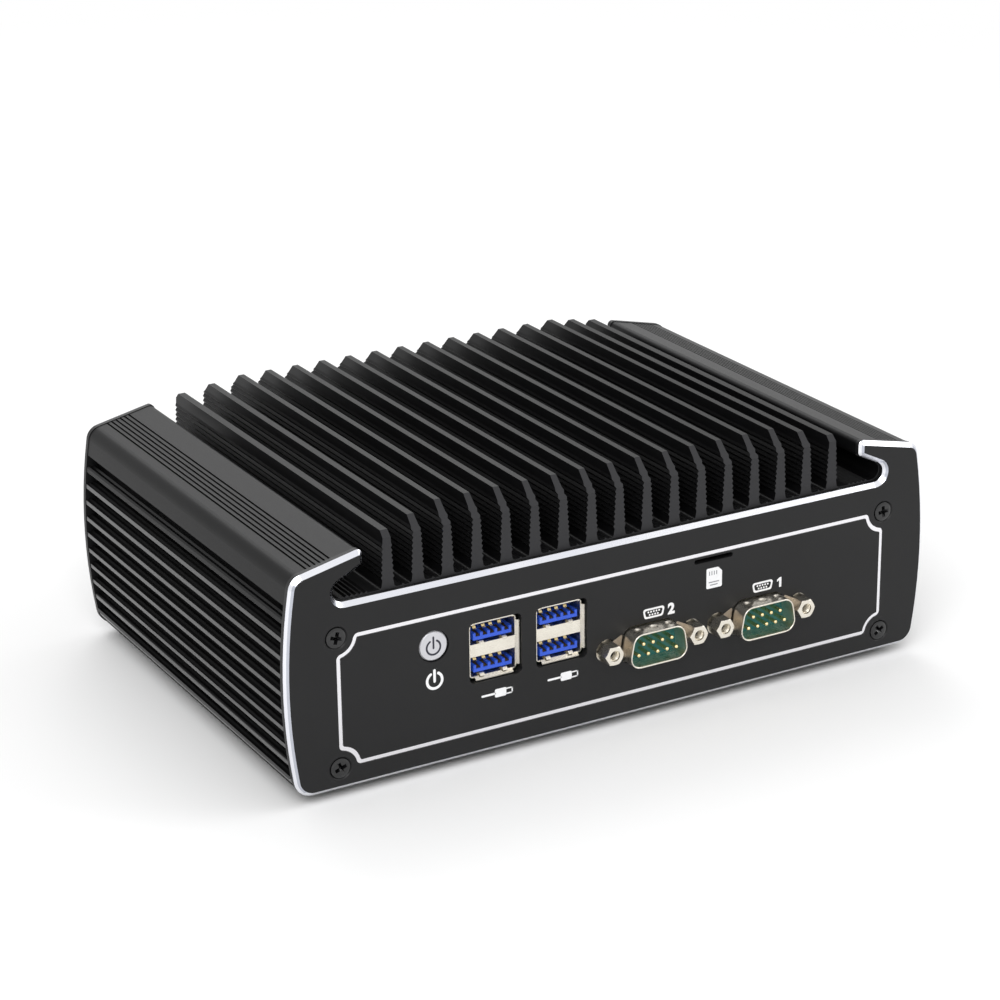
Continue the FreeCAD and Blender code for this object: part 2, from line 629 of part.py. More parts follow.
class Outline:
    """Section of the case: the right side's corners, and edges for both sides."""

    def __init__(self, inset, hook_radius):
        self.inset = inset
        self.hook_radius = hook_radius
        self.bow_centre = (S.case_width / 2 - S.side_radius, S.side_crest)
        # Each rounding's centre lies on the outline moved inwards by the rounding's radius.
        low_in = inset + S.bottom_corner
        self.low_centre = (bow(low_in, low_in), low_in)
        self.low = (self.low_centre[0], inset)
        self.low_end = self.on_bow(self.low_centre)
        self.high_centre = wing_corner(inset + S.wing_corner)
        slope = math.radians(S.wing_slope)
        up = (math.sin(slope), math.cos(slope))
        self.high = self.shift(self.high_centre, up, S.wing_corner)
        self.high_start = self.on_bow(self.high_centre)
        nose_x = S.nose_reach + inset + S.nose_corner
        self.nose_centre = (nose_x, wing_top(nose_x, inset + S.nose_corner))
        self.nose = self.shift(self.nose_centre, up, S.nose_corner)
        self.nose_end = (nose_x - S.nose_corner, self.nose_centre[1])
        angle = math.radians(S.underside_angle)
        across = (math.sin(angle), math.cos(angle))
        self.touch = self.shift(hook_centre(), across, hook_radius)
        base = self.shift(hook_centre(), across, hook_radius + S.nose_corner)
        self.lip_centre = (nose_x, base[1] + (base[0] - nose_x) * math.tan(angle))
        self.lip_start = (self.nose_end[0], self.lip_centre[1])
        self.lip = self.shift(self.lip_centre, across, -S.nose_corner)
        self.hook_end = (hook_centre()[0], hook_centre()[1] - hook_radius)

    @staticmethod
    def shift(start, direction, distance):
        return start[0] + direction[0] * distance, start[1] + direction[1] * distance

    def on_bow(self, centre):
        """Where a rounding with this centre meets the bowed side."""
        away = point(*centre) - point(*self.bow_centre)
        spot = point(*self.bow_centre) + away.normalize() * (S.side_radius - self.inset)
        return spot.x, spot.y

    def rounding(self, side, centre, radius, start, end):
        return short_arc(point(side * centre[0], centre[1]), radius, point(side * start[0], start[1]),
                         point(side * end[0], end[1]))

    def side_arc(self, side, z0, z1):
        """Stretch of the bowed side between two heights."""
        return self.rounding(side, self.bow_centre, S.side_radius - self.inset,
                             (bow(z0, self.inset), z0), (bow(z1, self.inset), z1))

    def corners(self, side):
        """Roundings of the lower corner, the upper outer corner and the nose, and what joins them."""
        return [self.rounding(side, self.low_centre, S.bottom_corner, self.low, self.low_end),
                self.rounding(side, self.high_centre, S.wing_corner, self.high_start, self.high),
                self.rounding(side, self.nose_centre, S.nose_corner, self.nose, self.nose_end),
                line((side * self.nose_end[0], self.nose_end[1]),
                     (side * self.lip_start[0], self.lip_start[1])),
                self.rounding(side, self.lip_centre, S.nose_corner, self.lip_start, self.lip),
                line((side * self.lip[0], self.lip[1]), (side * self.touch[0], self.touch[1])),
                self.hook(side)]

    def hook(self, side):
        """The hook's hollow, from the wing's underside round to the floor."""
        x, z = hook_centre()
        low, high = -math.pi / 2, math.pi / 2 - math.radians(S.underside_angle)
        if side < 0:
            low, high = math.pi - high, math.pi - low
        return arc(point(side * x, z), self.hook_radius, low, high)


# ---------------------------------------------------------------- heatsink housing
def fin_top(number):
    """Height of a fin; the outer ones are lower."""
    from_edge = min(number, int(S.fin_count) - 1 - number)
    drop = {0: S.edge_fin_drop, 1: S.next_fin_drop}.get(from_edge, 0)
    return S.floor_height + S.fin_height - drop


def fin_edges(x, top):
    """One fin, from its right foot to its left: tapered, toothed, with root fillets."""
    def half(z):
        share = (z - S.floor_height) / S.fin_height
        return (S.fin_root + (S.fin_tip - S.fin_root) * share) / 2

    root = S.floor_height + S.fin_fillet
    side = [(half(root), root)]
    z = S.floor_height + S.tooth_start
    while z + S.tooth_pitch < top - S.tooth_end:
        side.append((half(z) - S.tooth_depth / 2, z))
        side.append((half(z) + S.tooth_depth / 2, z + S.tooth_pitch / 2))
        z += S.tooth_pitch
    side += [(half(z), z), (half(top), top)]
    foot = half(root) + S.fin_fillet
    right = [(x + dx, z) for dx, z in side]
    left = [(x - dx, z) for dx, z in side]
    fillets = [short_arc(point(x + sign * foot, root), S.fin_fillet,
                         point(x + sign * foot, S.floor_height), point(x + sign * half(root), root))
               for sign in (1, -1)]
    return chain(right) + [line(right[-1], left[-1])] + chain(left) + fillets, (x - foot, x + foot)


def floor_edges(reach):
    """Top of the roof from one hook to the other: floors, their ridges and the fins."""
    r = S.floor_ridge
    first = -(S.fin_count - 1) / 2 * S.fin_pitch
    ridges = [first + (i + 0.5) * S.fin_pitch for i in range(int(S.fin_count) - 1)]
    ridges += [side * (S.hook_ridge_start + i * S.hook_ridge_pitch)
               for side in (1, -1) for i in range(int(S.hook_ridge_count))]
    features = [(x, chain([(x - r, S.floor_height), (x, S.floor_height + r), (x + r, S.floor_height)]),
                 (x - r, x + r)) for x in ridges]
    for number in range(int(S.fin_count)):
        x = first + number * S.fin_pitch
        edges, span = fin_edges(x, fin_top(number))
        features.append((x, edges, span))
    loop, at = [], -reach
    for _, edges, (start, end) in sorted(features, key=lambda item: item[0]):
        loop += [line((at, S.floor_height), (start, S.floor_height))] + edges
        at = end
    return loop + [line((at, S.floor_height), (reach, S.floor_height))]


def grooved_side(outline, side):
    """Bowed side with its row of grooves; fine ridges run on each groove's wall and floor."""
    wall = S.wall_reach + S.groove_wall
    r = S.groove_ridge
    loop, at = [], outline.low_end[1]
    room = outline.high_start[1] - S.groove_low - S.groove_height / 2
    for i in range(int(room / S.groove_pitch) + 1):
        middle = S.groove_low + i * S.groove_pitch
        low, high = middle - S.groove_height / 2, middle + S.groove_height / 2
        corners = [(bow(low, outline.inset), low)]
        for step in (2, 1):
            x = wall + step * S.groove_ridge_pitch - r
            corners += [(x + r, low), (x, low + r), (x - r, low)]
        corners += [(wall, low), (wall, middle - r), (wall + r, middle), (wall, middle + r),
                    (wall, high), (bow(high, outline.inset), high)]
        loop.append(outline.side_arc(side, at, low))
        loop += chain([(side * x, z) for x, z in corners])
        at = high
    return loop + [outline.side_arc(side, at, outline.high_start[1])]


def grooved_wing(outline, side):
    """Sloping top of a wing with its fine grooves."""
    slope = math.radians(S.wing_slope)
    size = S.wing_groove_size
    corners = [outline.nose]
    for i in range(int(S.wing_groove_count)):
        x = S.wing_groove_start + i * S.wing_groove_pitch * math.cos(slope)
        start = Vector(x, wing_top(x, outline.inset), 0)
        along = Vector(math.cos(slope), -math.sin(slope), 0) * size
        down = Vector(-math.sin(slope), -math.cos(slope), 0) * size
        corners += [(v.x, v.y) for v in (start, start + down, start + down + along, start + along)]
    corners.append(outline.high)
    return chain([(side * x, z) for x, z in corners])


def cavity_edges(outline, side):
    """Inside of one side: rebate and ledge of the cover, wall and the two screw channels."""
    seat = S.cover_thickness
    ledge = seat + S.ledge_thickness
    x, r = S.panel_screw_x, S.boss_radius
    dip = ledge - S.panel_screw_low
    meet = x - math.sqrt(r ** 2 - dip ** 2)
    rebate = S.cover_reach + S.cover_play
    lower = [outline.low, (rebate, outline.inset), (rebate, seat), (S.ledge_reach, seat),
             (S.ledge_reach, ledge), (meet, ledge)]
    upper = [(x, S.panel_screw_low + r), (S.wall_reach, S.panel_screw_low + r),
             (S.wall_reach, S.panel_screw_high - r), (x, S.panel_screw_high - r)]
    top = [(x - r, S.panel_screw_high), (x - r, S.ceiling_height), (0, S.ceiling_height)]
    loop = [line((side * a, b), (side * c, d)) for run in (lower, upper, top)
            for (a, b), (c, d) in zip(run, run[1:])]
    loop.append(short_arc(point(side * x, S.panel_screw_low), r, point(side * meet, ledge),
                          point(side * (x - r), S.panel_screw_low)))
    loop.append(short_arc(point(side * x, S.panel_screw_low), r, point(side * (x - r), S.panel_screw_low),
                          point(side * x, S.panel_screw_low + r)))
    loop.append(short_arc(point(side * x, S.panel_screw_high), r, point(side * x, S.panel_screw_high - r),
                          point(side * (x - r), S.panel_screw_high)))
    return loop


PANEL_SCREWS = [(side * S.panel_screw_x, z) for side in (1, -1)
                for z in (S.panel_screw_low, S.panel_screw_high)]


def heatsink_housing():
    """The extrusion: finned roof, grooved sides, screw channels and the ledges for the cover."""
    body = new_body(INNER_FRONT)
    outline = Outline(S.panel_reveal, hook_centre()[1] - S.floor_height)
    section = floor_edges(outline.hook_end[0])
    for side in (1, -1):
        section += outline.corners(side) + grooved_wing(outline, side)
        section += grooved_side(outline, side) + cavity_edges(outline, side)
    bores = [circle(x, z, S.screw_radius + S.thread_play) for x, z in PANEL_SCREWS]
    pad(body, [section] + bores, "case_depth - 2 * panel_thickness")

    # Sloped ends of the fins, and the tapped holes for the cover's screws and the board's posts.
    tools = [fin_end(INNER_FRONT, 1), fin_end(INNER_REAR, -1)]
    tools += [rod("Z", f"{side} * cover_screw_x", y, "0", "screw_radius + thread_play",
                  "cover_thickness + 1.5 * ledge_thickness")
              for side in (1, -1) for y in ("cover_screw_inset", "(case_depth - cover_screw_inset)")]
    tools += [rod("Z", f"{side} * post_x", y, "(ceiling_height - ledge_thickness)",
                  "screw_radius + thread_play", "ledge_thickness + (floor_height - ceiling_height) / 2")
              for side in (1, -1) for y in ("post_inset", "(case_depth - post_inset)")]
    doc.recompute()
    finished = doc.addObject("Part::Feature", "Housing")
    finished.Shape = body.Shape.cut([tool.Shape for tool in tools])
    return node(finished, "heatsink_housing")


def fin_end(y, turn):
    """Block, turned by 45 degrees, that slopes the ends of all the fins; turn is -1 at the rear."""
    wedge = doc.addObject("Part::Box", "FinEnd")
    wedge.Placement = Placement(Vector(), Rotation(Vector(1, 0, 0), turn * 45))
    bind(wedge, "Length", "2 * notch_reach")
    bind(wedge, "Width", "3 * fin_chamfer")
    bind(wedge, "Height", "3 * fin_chamfer")
    side = "0" if turn > 0 else "-3 * fin_chamfer * cos(45)"
    lift = "0" if turn > 0 else "3 * fin_chamfer * sin(45)"
    start = f"(floor_height + fin_height - fin_chamfer + {lift})"
    return place(wedge, "-notch_reach", f"({y} + {side})", start)


# ---------------------------------------------------------------- end panels
def end_panel(y, rear):
    """Plate with the case's outline, a chamfer round its outer face and the milled line."""
    body = new_body(y)
    outline = Outline(0, S.notch_radius)
    floor_z = outline.hook_end[1]
    loop = [line((-outline.hook_end[0], floor_z), (outline.hook_end[0], floor_z)),
            line((-outline.low[0], outline.low[1]), (outline.low[0], outline.low[1]))]
    for side in (1, -1):
        loop += outline.corners(side)
        loop.append(outline.side_arc(side, outline.low_end[1], outline.high_start[1]))
        loop.append(line((side * outline.high[0], outline.high[1]),
                         (side * outline.nose[0], outline.nose[1])))
    plate = pad(body, [loop], "panel_thickness")
    outer_y = S.panel_thickness if rear else 0
    rim = [f"Edge{number}" for number, edge in enumerate(plate.Shape.Edges, start=1)
           if all(abs(v.Y - outer_y) < 1e-6 for v in edge.Vertexes)]
    dress(body, "Chamfer", plate, rim, "Size", "panel_chamfer")
    groove = [notched_loop(S.line_width / 2), notched_loop(-S.line_width / 2)]
    pocket(body, groove, None if rear else "line_depth",
           "(panel_thickness - line_depth)" if rear else "0")
    screws = pocket(body, [circle(x, z, S.screw_radius + S.screw_play) for x, z in PANEL_SCREWS])
    seats = [f"Edge{number}" for number, edge in enumerate(screws.Shape.Edges, start=1)
             if edge.Closed and abs(edge.CenterOfMass.y - outer_y) < 1e-6
             and abs(edge.Length - math.tau * (S.screw_radius + S.screw_play)) < 1e-4]
    dress(body, "Chamfer", screws, seats, "Size", COUNTERSINK)
    return body


def notched_loop(grow):
    """The milled line's loop, moved outwards: a rectangle that bays in round the panel screws."""
    reach, high, low = S.line_reach + grow, S.line_high + grow, S.line_low - grow
    bay, blend = S.line_bay - grow, S.line_blend + grow
    loop, ends = [], {}
    for side in (1, -1):
        for screw_z, run, up in ((S.panel_screw_high, high, 1), (S.panel_screw_low, low, -1)):
            screw_x = S.panel_screw_x
            drop = math.sqrt((bay + blend) ** 2 - (reach - blend - screw_x) ** 2)
            upright = (reach - blend, screw_z - up * drop)
            slide = math.sqrt((bay + blend) ** 2 - (run - up * blend - screw_z) ** 2)
            level = (screw_x - slide, run - up * blend)
            share = bay / (bay + blend)
            meets = []
            for centre, end in ((upright, (reach, upright[1])), (level, (level[0], run))):
                meet = (screw_x + (centre[0] - screw_x) * share, screw_z + (centre[1] - screw_z) * share)
                meets.append(point(side * meet[0], meet[1]))
                loop.append(short_arc(point(side * centre[0], centre[1]), blend, meets[-1],
                                      point(side * end[0], end[1])))
            loop.append(short_arc(point(side * screw_x, screw_z), bay, *meets))
            ends[side, up] = (upright[1], level[0])
        loop.append(line((side * reach, ends[side, 1][0]), (side * reach, ends[side, -1][0])))
    loop.append(line((ends[1, 1][1], high), (-ends[-1, 1][1], high)))
    loop.append(line((ends[1, -1][1], low), (-ends[-1, -1][1], low)))
    return loop


def front_panel():
    body = end_panel("0", False)
    button = circle(S.button_x, S.button_z, S.button_radius + S.button_play)
    windows = [rounded(rectangle(S.usb_x + i * S.usb_pitch, S.usb_z, S.usb_cut_width, S.usb_cut_height),
                       S.usb_cut_corner) for i in range(2)]
    slot = rounded(rectangle(S.sim_x, S.sim_z, S.sim_slot_width, S.sim_slot_height),
                   S.sim_slot_height / 2.05)
    serial = []
    for i in range(2):
        x = S.com_x + i * S.com_pitch
        serial.append(d_loop(x, S.com_shell_wall + S.com_window_play))
        serial += [circle(x + side * S.jack_pitch / 2, S.com_z, S.jack_hole) for side in (1, -1)]
    pocket(body, [button, slot] + windows + serial)
    pocket(body, [rectangle_loop(S.com_x + i * S.com_pitch, S.com_z,
                                 S.com_flange_width + 2 * S.com_pocket_play,
                                 S.com_flange_height + 2 * S.com_pocket_play) for i in range(2)],
           None, "com_flange_set")
    return node(body, "front_panel")


def rear_panel():
    body = end_panel(INNER_REAR, True)
    board = S.usb_z - S.usb_height / 2
    play = 2 * S.port_play
    windows = [rectangle_loop(S.lan_x - i * S.lan_pitch, board + S.lan_height / 2, S.lan_width + play,
                              S.lan_height + play) for i in range(2)]
    windows += [rectangle_loop(S.hdmi_x + i * S.hdmi_pitch, board + S.hdmi_height / 2,
                               S.hdmi_width + play, S.hdmi_height + play) for i in range(2)]
    windows.append(rectangle_loop(S.dc_x, board + S.dc_height / 2, S.dc_width + play, S.dc_height + play))
    windows += [circle(S.audio_x - i * S.audio_pitch, board + S.audio_height / 2,
                       S.audio_collar + S.port_play) for i in range(2)]
    windows += [circle(side * S.plug_x, S.plug_z, S.plug_radius) for side in (1, -1)]
    pocket(body, windows)
    return node(body, "rear_panel")


# ---------------------------------------------------------------- screws
def countersunk(axis, x, y, z, turn, length):
    """M3 countersunk screw with a cross recess; it starts at its head and runs along the axis."""
    cone = "(head_radius - screw_radius)"
    pieces = []
    if turn > 0:
        spots = ("head_set", "(head_set + head_rim)", f"(head_set + head_rim + {cone})")
    else:
        spots = ("-(head_set + head_rim)", f"-(head_set + head_rim + {cone})", f"-(head_set + {length})")
    shank = f"({length} - head_rim - {cone})"

    def at(offset):
        return (x, f"({y} + {offset})", z) if axis == "Y" else (x, y, f"({z} + {offset})")

    pieces.append(rod(axis, *at(spots[0]), "head_radius", "head_rim"))
    radii = ("head_radius", "screw_radius") if turn > 0 else ("screw_radius", "head_radius")
    pieces.append(taper(axis, *at(spots[1]), *radii, cone))
    pieces.append(rod(axis, *at(spots[2]), "screw_radius", shank))
    start = "head_set" if turn > 0 else "-(head_set + recess_depth)"
    return cut(fuse(*pieces), *cross_recess(axis, *at(start), "recess_depth"))


def cross_recess(axis, x, y, z, depth):
    """Two crossed slots, from their shallow end."""
    long, short = "recess_reach", "recess_width / 2"
    if axis == "Y":
        return [box(f"{x} - {a}", y, f"{z} - {b}", f"2 * {a}", depth, f"2 * {b}")
                for a, b in ((long, short), (short, long))]
    return [box(f"{x} - {a}", f"{y} - {b}", z, f"2 * {a}", f"2 * {b}", depth)
            for a, b in ((long, short), (short, long))]


def screws():
    spots = [(f"{side} * panel_screw_x", z) for side in (1, -1)
             for z in ("panel_screw_low", "panel_screw_high")]
    node(group([countersunk("Y", x, "0", z, 1, "screw_length") for x, z in spots]), "front_panel_screws")
    node(group([countersunk("Y", x, "case_depth", z, -1, "screw_length") for x, z in spots]),
         "rear_panel_screws")
    covers = [(f"{side} * cover_screw_x", y) for side in (1, -1)
              for y in ("cover_screw_inset", "(case_depth - cover_screw_inset)")]
    node(group([countersunk("Z", x, y, "0", 1, "cover_screw_length") for x, y in covers]),
         "bottom_cover_screws")


# ---------------------------------------------------------------- bottom cover and feet
def bottom_cover():
    """Steel sheet with countersunk screw holes and clinch nuts for a wall or rail bracket."""
    depth = "(case_depth - 2 * panel_thickness - 2 * cover_play)"
    sheet_metal = mid_box("0", "panel_thickness + cover_play", "0", "2 * cover_reach", depth,
                          "cover_thickness")
    tools = []
    for side in (1, -1):
        for y in ("cover_screw_inset", "(case_depth - cover_screw_inset)"):
            x = f"{side} * cover_screw_x"
            tools.append(rod("Z", x, y, "0", "screw_radius + screw_play", "cover_thickness"))
            tools.append(taper("Z", x, y, "0", f"screw_radius + screw_play + {COUNTERSINK}",
                               "screw_radius + screw_play", COUNTERSINK))
    bores = [rod("Z", x, y, "0", "mount_radius", "cover_thickness") for x, y in mount_spots()]
    node(cut(sheet_metal, *tools, *bores), "bottom_cover")
    nuts = [cut(rod("Z", x, y, "cover_thickness", "nut_radius", "nut_height"),
                rod("Z", x, y, "cover_thickness", "mount_radius", "nut_height")) for x, y in mount_spots()]
    node(group(nuts), "clinch_nuts")
    feet = [taper("Z", f"{side} * foot_x", y, "(-foot_height)", "foot_radius - foot_taper", "foot_radius",
                  "foot_height") for side in (1, -1) for y in ("foot_inset", "(case_depth - foot_inset)")]
    node(group(feet), "rubber_feet")


def mount_spots():
    return [(f"{side} * mount_pitch / 2", f"(case_depth / 2 + {end} * mount_pitch / 2)")
            for side in (1, -1) for end in (1, -1)]


# ---------------------------------------------------------------- mainboard
POSTS = [(f"{side} * post_x", y) for side in (1, -1) for y in ("post_inset", "(case_depth - post_inset)")]


def mainboard():
    """Board with a bay for the serial ports; it hangs from the roof on four standoffs."""
    body = new_body("0", "0", f"({BOARD_TOP} - board_thickness)")
    front = S.panel_thickness + S.board_gap
    rear = S.case_depth - S.panel_thickness - S.board_gap
    bay_y = (S.com_flange_set + S.com_flange_thickness + S.com_body_depth + S.com_tail_depth
             + S.board_thickness + S.board_bay_gap)
    bay = S.com_flange_width / 2 + S.com_board_margin + S.board_bay_gap
    left, right = S.com_x - bay, S.com_x + S.com_pitch + bay
    corners = [(-S.board_reach, front), (left, front), (left, bay_y), (right, bay_y), (right, front),
               (S.board_reach, front), (S.board_reach, rear), (-S.board_reach, rear)]
    holes = [circle(side * S.post_x, y, S.screw_radius + S.screw_play) for side in (1, -1)
             for y in (S.post_inset, S.case_depth - S.post_inset)]
    pad(body, [polygon(corners)] + holes, "board_thickness", "0", "XY_Plane")
    node(body, "mainboard")
    rise = f"(ceiling_height - {BOARD_TOP})"
    posts = [cut(hexagon("Z", x, y, BOARD_TOP, "post_radius", rise),
                 rod("Z", x, y, BOARD_TOP, "screw_radius + thread_play", rise)) for x, y in POSTS]
    node(group(posts), "board_standoffs")
    under = f"({BOARD_TOP} - board_thickness)"
    heads = [fuse(rod("Z", x, y, f"({under} - pan_height)", "pan_radius", "pan_height"),
                  rod("Z", x, y, under, "screw_radius", "screw_length")) for x, y in POSTS]
    node(group(heads), "board_screws")


def processor():
    """Processor, heat block up to the roof and the thermal pads either side of the block."""
    top = f"({BOARD_TOP} + cpu_height)"
    node(mid_box("cpu_x", "cpu_y - cpu_size / 2", BOARD_TOP, "cpu_size", "cpu_size", "cpu_height"),
         "processor")
    pads = [mid_box("cpu_x", "cpu_y - cpu_size / 2", top, "cpu_size", "cpu_size", "pad_thickness"),
            mid_box("cpu_x", "cpu_y - block_size / 2", "(ceiling_height - pad_thickness)", "block_size",
                    "block_size", "pad_thickness")]
    node(group(pads), "thermal_pads")
    node(mid_box("cpu_x", "cpu_y - block_size / 2", f"({top} + pad_thickness)", "block_size", "block_size",
                 f"ceiling_height - 2 * pad_thickness - {top}"), "heat_block")


def plugged_card(name, x, socket_y, start, width, length, rise, socket_height, above):
    """Card that lies parallel to the board, above or below it, with its edge in a socket."""
    def layer(gap, thickness):
        """Underside of what lies this far from the board's face."""
        return f"({BOARD_TOP} + {gap})" if above else f"({BOARD_TOP} - board_thickness - {gap} - {thickness})"

    card = mid_box(x, start, layer(rise, "card_thickness"), width, length, "card_thickness")
    room = mid_box(x, start, layer(rise, "card_thickness"), width, length, "card_thickness")
    socket = mid_box(x, socket_y, layer("0", socket_height), f"{width} + 2 * card_thickness",
                     "socket_depth", socket_height)
    node(cut(socket, room), f"{name}_socket")
    chips = [mid_box(f"({x} + {i} * {width} / 4)", f"({start} + {length} / 3)",
                     layer(f"({rise} + card_thickness)", "card_thickness"), f"{width} / 6",
                     f"{length} / 3", "card_thickness") for i in (-1, 0, 1)]
    node(fuse(card, *chips), f"{name}_card")


def coin_cell():
    holder = cut(rod("Z", "cell_x", "cell_y", BOARD_TOP, "cell_radius + holder_wall",
                     "holder_floor + cell_height / 2"),
                 rod("Z", "cell_x", "cell_y", f"({BOARD_TOP} + holder_floor)", "cell_radius", "cell_height"))
    node(holder, "coin_cell_holder")
    node(rod("Z", "cell_x", "cell_y", f"({BOARD_TOP} + holder_floor)", "cell_radius", "cell_height"),
         "coin_cell")


# ---------------------------------------------------------------- USB stacks
def spread(count, pitch, i):
    """Place of the i-th of several equally spaced things, from their middle."""
    return f"(({i} - ({count} - 1) / 2) * {pitch})"


def flare(x, z, width, height):
    """Tapered block whose front is a lip's reach wider all round than its back."""
    obj = doc.addObject("Part::Wedge", "Flare")
    for prop, formula in (("Xmin", f"-({width}) / 2 - usb_lip"), ("Xmax", f"({width}) / 2 + usb_lip"),
                          ("Zmin", "-usb_lip"), ("Zmax", f"{height} + usb_lip"),
                          ("X2min", f"-({width}) / 2"), ("X2max", f"({width}) / 2"),
                          ("Z2min", "0"), ("Z2max", height), ("Ymin", "0"), ("Ymax", "usb_lip_depth")):
        bind(obj, prop, formula)
    return place(obj, x, "usb_set", z)


def usb_lips(x):
    """Four flared lips with bare corners between them."""
    outside = flare(x, BOARD_TOP, "usb_width", "usb_height")
    inside = flare(x, f"({BOARD_TOP} + usb_wall)", "usb_width - 2 * usb_wall", "usb_height - 2 * usb_wall")
    reach, side = "(usb_lip + usb_lip_end)", "(usb_width / 2 - usb_lip_end)"
    corners = [box(f"{x} {along}", "usb_set", f"{BOARD_TOP} {up}", reach, "usb_lip_depth", reach)
               for along in ("- usb_width / 2 - usb_lip", f"+ {side}")
               for up in ("- usb_lip", "+ usb_height - usb_lip_end")]
    return cut(outside, inside, *corners)


def usb_stack(number):
    """Two ports in one shell; each tongue has short contacts in its slots and long ones on top."""
    x = f"(usb_x + {number - 1} * usb_pitch)"
    middle = S.usb_x + (number - 1) * S.usb_pitch
    floors = [f"({BOARD_TOP} + usb_wall)", f"({BOARD_TOP} + usb_height - usb_wall - usb_port_height)"]
    body = new_body("(usb_set + usb_lip_depth)")
    outline = rectangle(middle, S.usb_z, S.usb_width, S.usb_height)
    pad(body, [rounded(outline, S.usb_corner)], "usb_depth - usb_lip_depth")
    ports = [mid_box(x, "usb_set", z, "usb_width - 2 * usb_wall", "usb_port_depth", "usb_port_height")
             for z in floors]
    node(cut(fuse(body, usb_lips(x)), *ports), f"usb_{number}_shell")
    tongues, contacts = [], []
    for z in floors:
        top = f"({z} + tongue_rise + tongue_height)"
        front = "(usb_set + tongue_set)"
        tongue = mid_box(x, front, f"({z} + tongue_rise)", "tongue_width", "usb_port_depth - tongue_set",
                         "tongue_height")
        slots = [f"({x} + {spread('slot_count', 'slot_pitch', i)})" for i in range(int(S.slot_count))]
        tongues.append(cut(tongue, *[mid_box(spot, front, f"({top} - slot_depth)", "slot_width",
                                             "slot_length", "slot_depth") for spot in slots]))
        contacts += [mid_box(spot, f"({front} + strip_set)", f"({top} - slot_depth)", "slot_width",
                             "slot_length - strip_set", "strip_height") for spot in slots]
        contacts += [mid_box(f"({x} {sign} {away})", "(usb_set + usb_port_depth - contact_length)", top,
                             "contact_width", "contact_length", "contact_height")
                     for sign in "+-" for away in ("contact_near", "contact_far")]
    node(group(tongues), f"usb_{number}_tongues")
    node(group(contacts), f"usb_{number}_contacts")


# ---------------------------------------------------------------- serial ports
def d_loop(x, grow):
    """D outline, wide side down."""
    slant = math.tan(math.radians(S.com_slant))
    w, h = S.com_shell_width / 2 + grow, S.com_shell_height / 2 + grow
    corners = [(-w, -h), (w, -h), (w - 2 * h * slant, h), (-w + 2 * h * slant, h)]
    return rounded([(x + dx, S.com_z + dz) for dx, dz in corners], S.com_corner + grow)


def pin_spots(x):
    """Five pins in the lower row and four in the upper one."""
    rows = ((5, -0.5), (4, 0.5))
    return [(x + (i - (count - 1) / 2) * S.pin_pitch, S.com_z + share * S.pin_row)
            for count, share in rows for i in range(count)]


def serial_port(number):
    x = S.com_x + (number - 1) * S.com_pitch
    jacks = [x - S.jack_pitch / 2, x + S.jack_pitch / 2]
    flange = rectangle_loop(x, S.com_z, S.com_flange_width, S.com_flange_height)
    holes = [circle(jack, S.com_z, S.screw_radius + S.screw_play) for jack in jacks]
    shell = new_body("com_flange_set")
    pad(shell, [flange] + holes, "com_flange_thickness")
    pad(shell, [d_loop(x, S.com_shell_wall)], "com_shell_reach + com_flange_thickness",
        "-com_shell_reach")
    pocket(shell, [d_loop(x, 0)], None, "-com_shell_reach")
    centre = f"(com_x + {number - 1} * com_pitch)"
    depth = "(com_flange_set - com_shell_reach + dimple_set)"
    lift = "(com_shell_height / 2 + com_shell_wall + dimple_radius - dimple_depth)"
    balls = [ball(f"({centre} + {spread('dimple_count', 'dimple_pitch', i)})", depth,
                  f"(com_z {sign} {lift})", "dimple_radius")
             for i in range(int(S.dimple_count)) for sign in "+-"]
    node(cut(shell, *balls), f"serial_{number}_shell")
    core = new_body("com_flange_set")
    well = "(com_well - com_shell_reach)"
    pad(core, [d_loop(x, 0)], f"com_flange_thickness - {well}", well)
    pad(core, [flange] + holes, "com_body_depth", "com_flange_thickness")
    pad(core, [rectangle_loop(x, S.com_z, S.com_tail_width, S.com_shell_height)],
        "com_tail_depth", "(com_flange_thickness + com_body_depth)")
    node(core, f"serial_{number}_insulator")
    pins = [rod("Y", f"(com_x + {number - 1} * com_pitch + {px - x:.6f})",
                f"(com_flange_set + {well} - pin_tip)", f"(com_z + {pz - S.com_z:.6f})", "pin_radius",
                "pin_tip") for px, pz in pin_spots(x)]
    node(group(pins), f"serial_{number}_pins")
    nuts = []
    for side in (1, -1):
        spot = (f"(com_x + {number - 1} * com_pitch + {side} * jack_pitch / 2)",)
        tip, corner = "(com_flange_set - jack_height)", "jack_across / (2 * cos(30))"
        bevel = taper("Y", *spot, tip, "com_z", "jack_across / 2", corner, "jack_bevel")
        rest = rod("Y", *spot, f"({tip} + jack_bevel)", "com_z", corner, "jack_height - jack_bevel")
        barrel = common(hexagon("Y", *spot, tip, "com_z", corner, "jack_height"), fuse(bevel, rest))
        shank = rod("Y", *spot, "com_flange_set", "com_z", "screw_radius",
                    "com_flange_thickness + com_body_depth")
        bore = rod("Y", *spot, tip, "com_z", "jack_bore", "jack_bore_depth")
        nuts.append(cut(fuse(barrel, shank), bore))
    node(group(nuts), f"serial_{number}_jack_nuts")


def serial_board():
    """Upright board behind the serial ports and the header that joins it to the mainboard."""
    low_x = "(com_x - com_flange_width / 2 - com_board_margin)"
    width = "(com_pitch + com_flange_width + 2 * com_board_margin)"
    node(box(low_x, COM_BOARD_FRONT, "com_board_low", width, "board_thickness",
             "com_board_high - com_board_low"), "serial_board")
    node(mid_box("(com_x + com_pitch / 2)", f"({COM_BOARD_FRONT} + board_thickness)", BOARD_TOP,
                 "header_width", "board_bay_gap + header_lap", "header_height"), "serial_header")


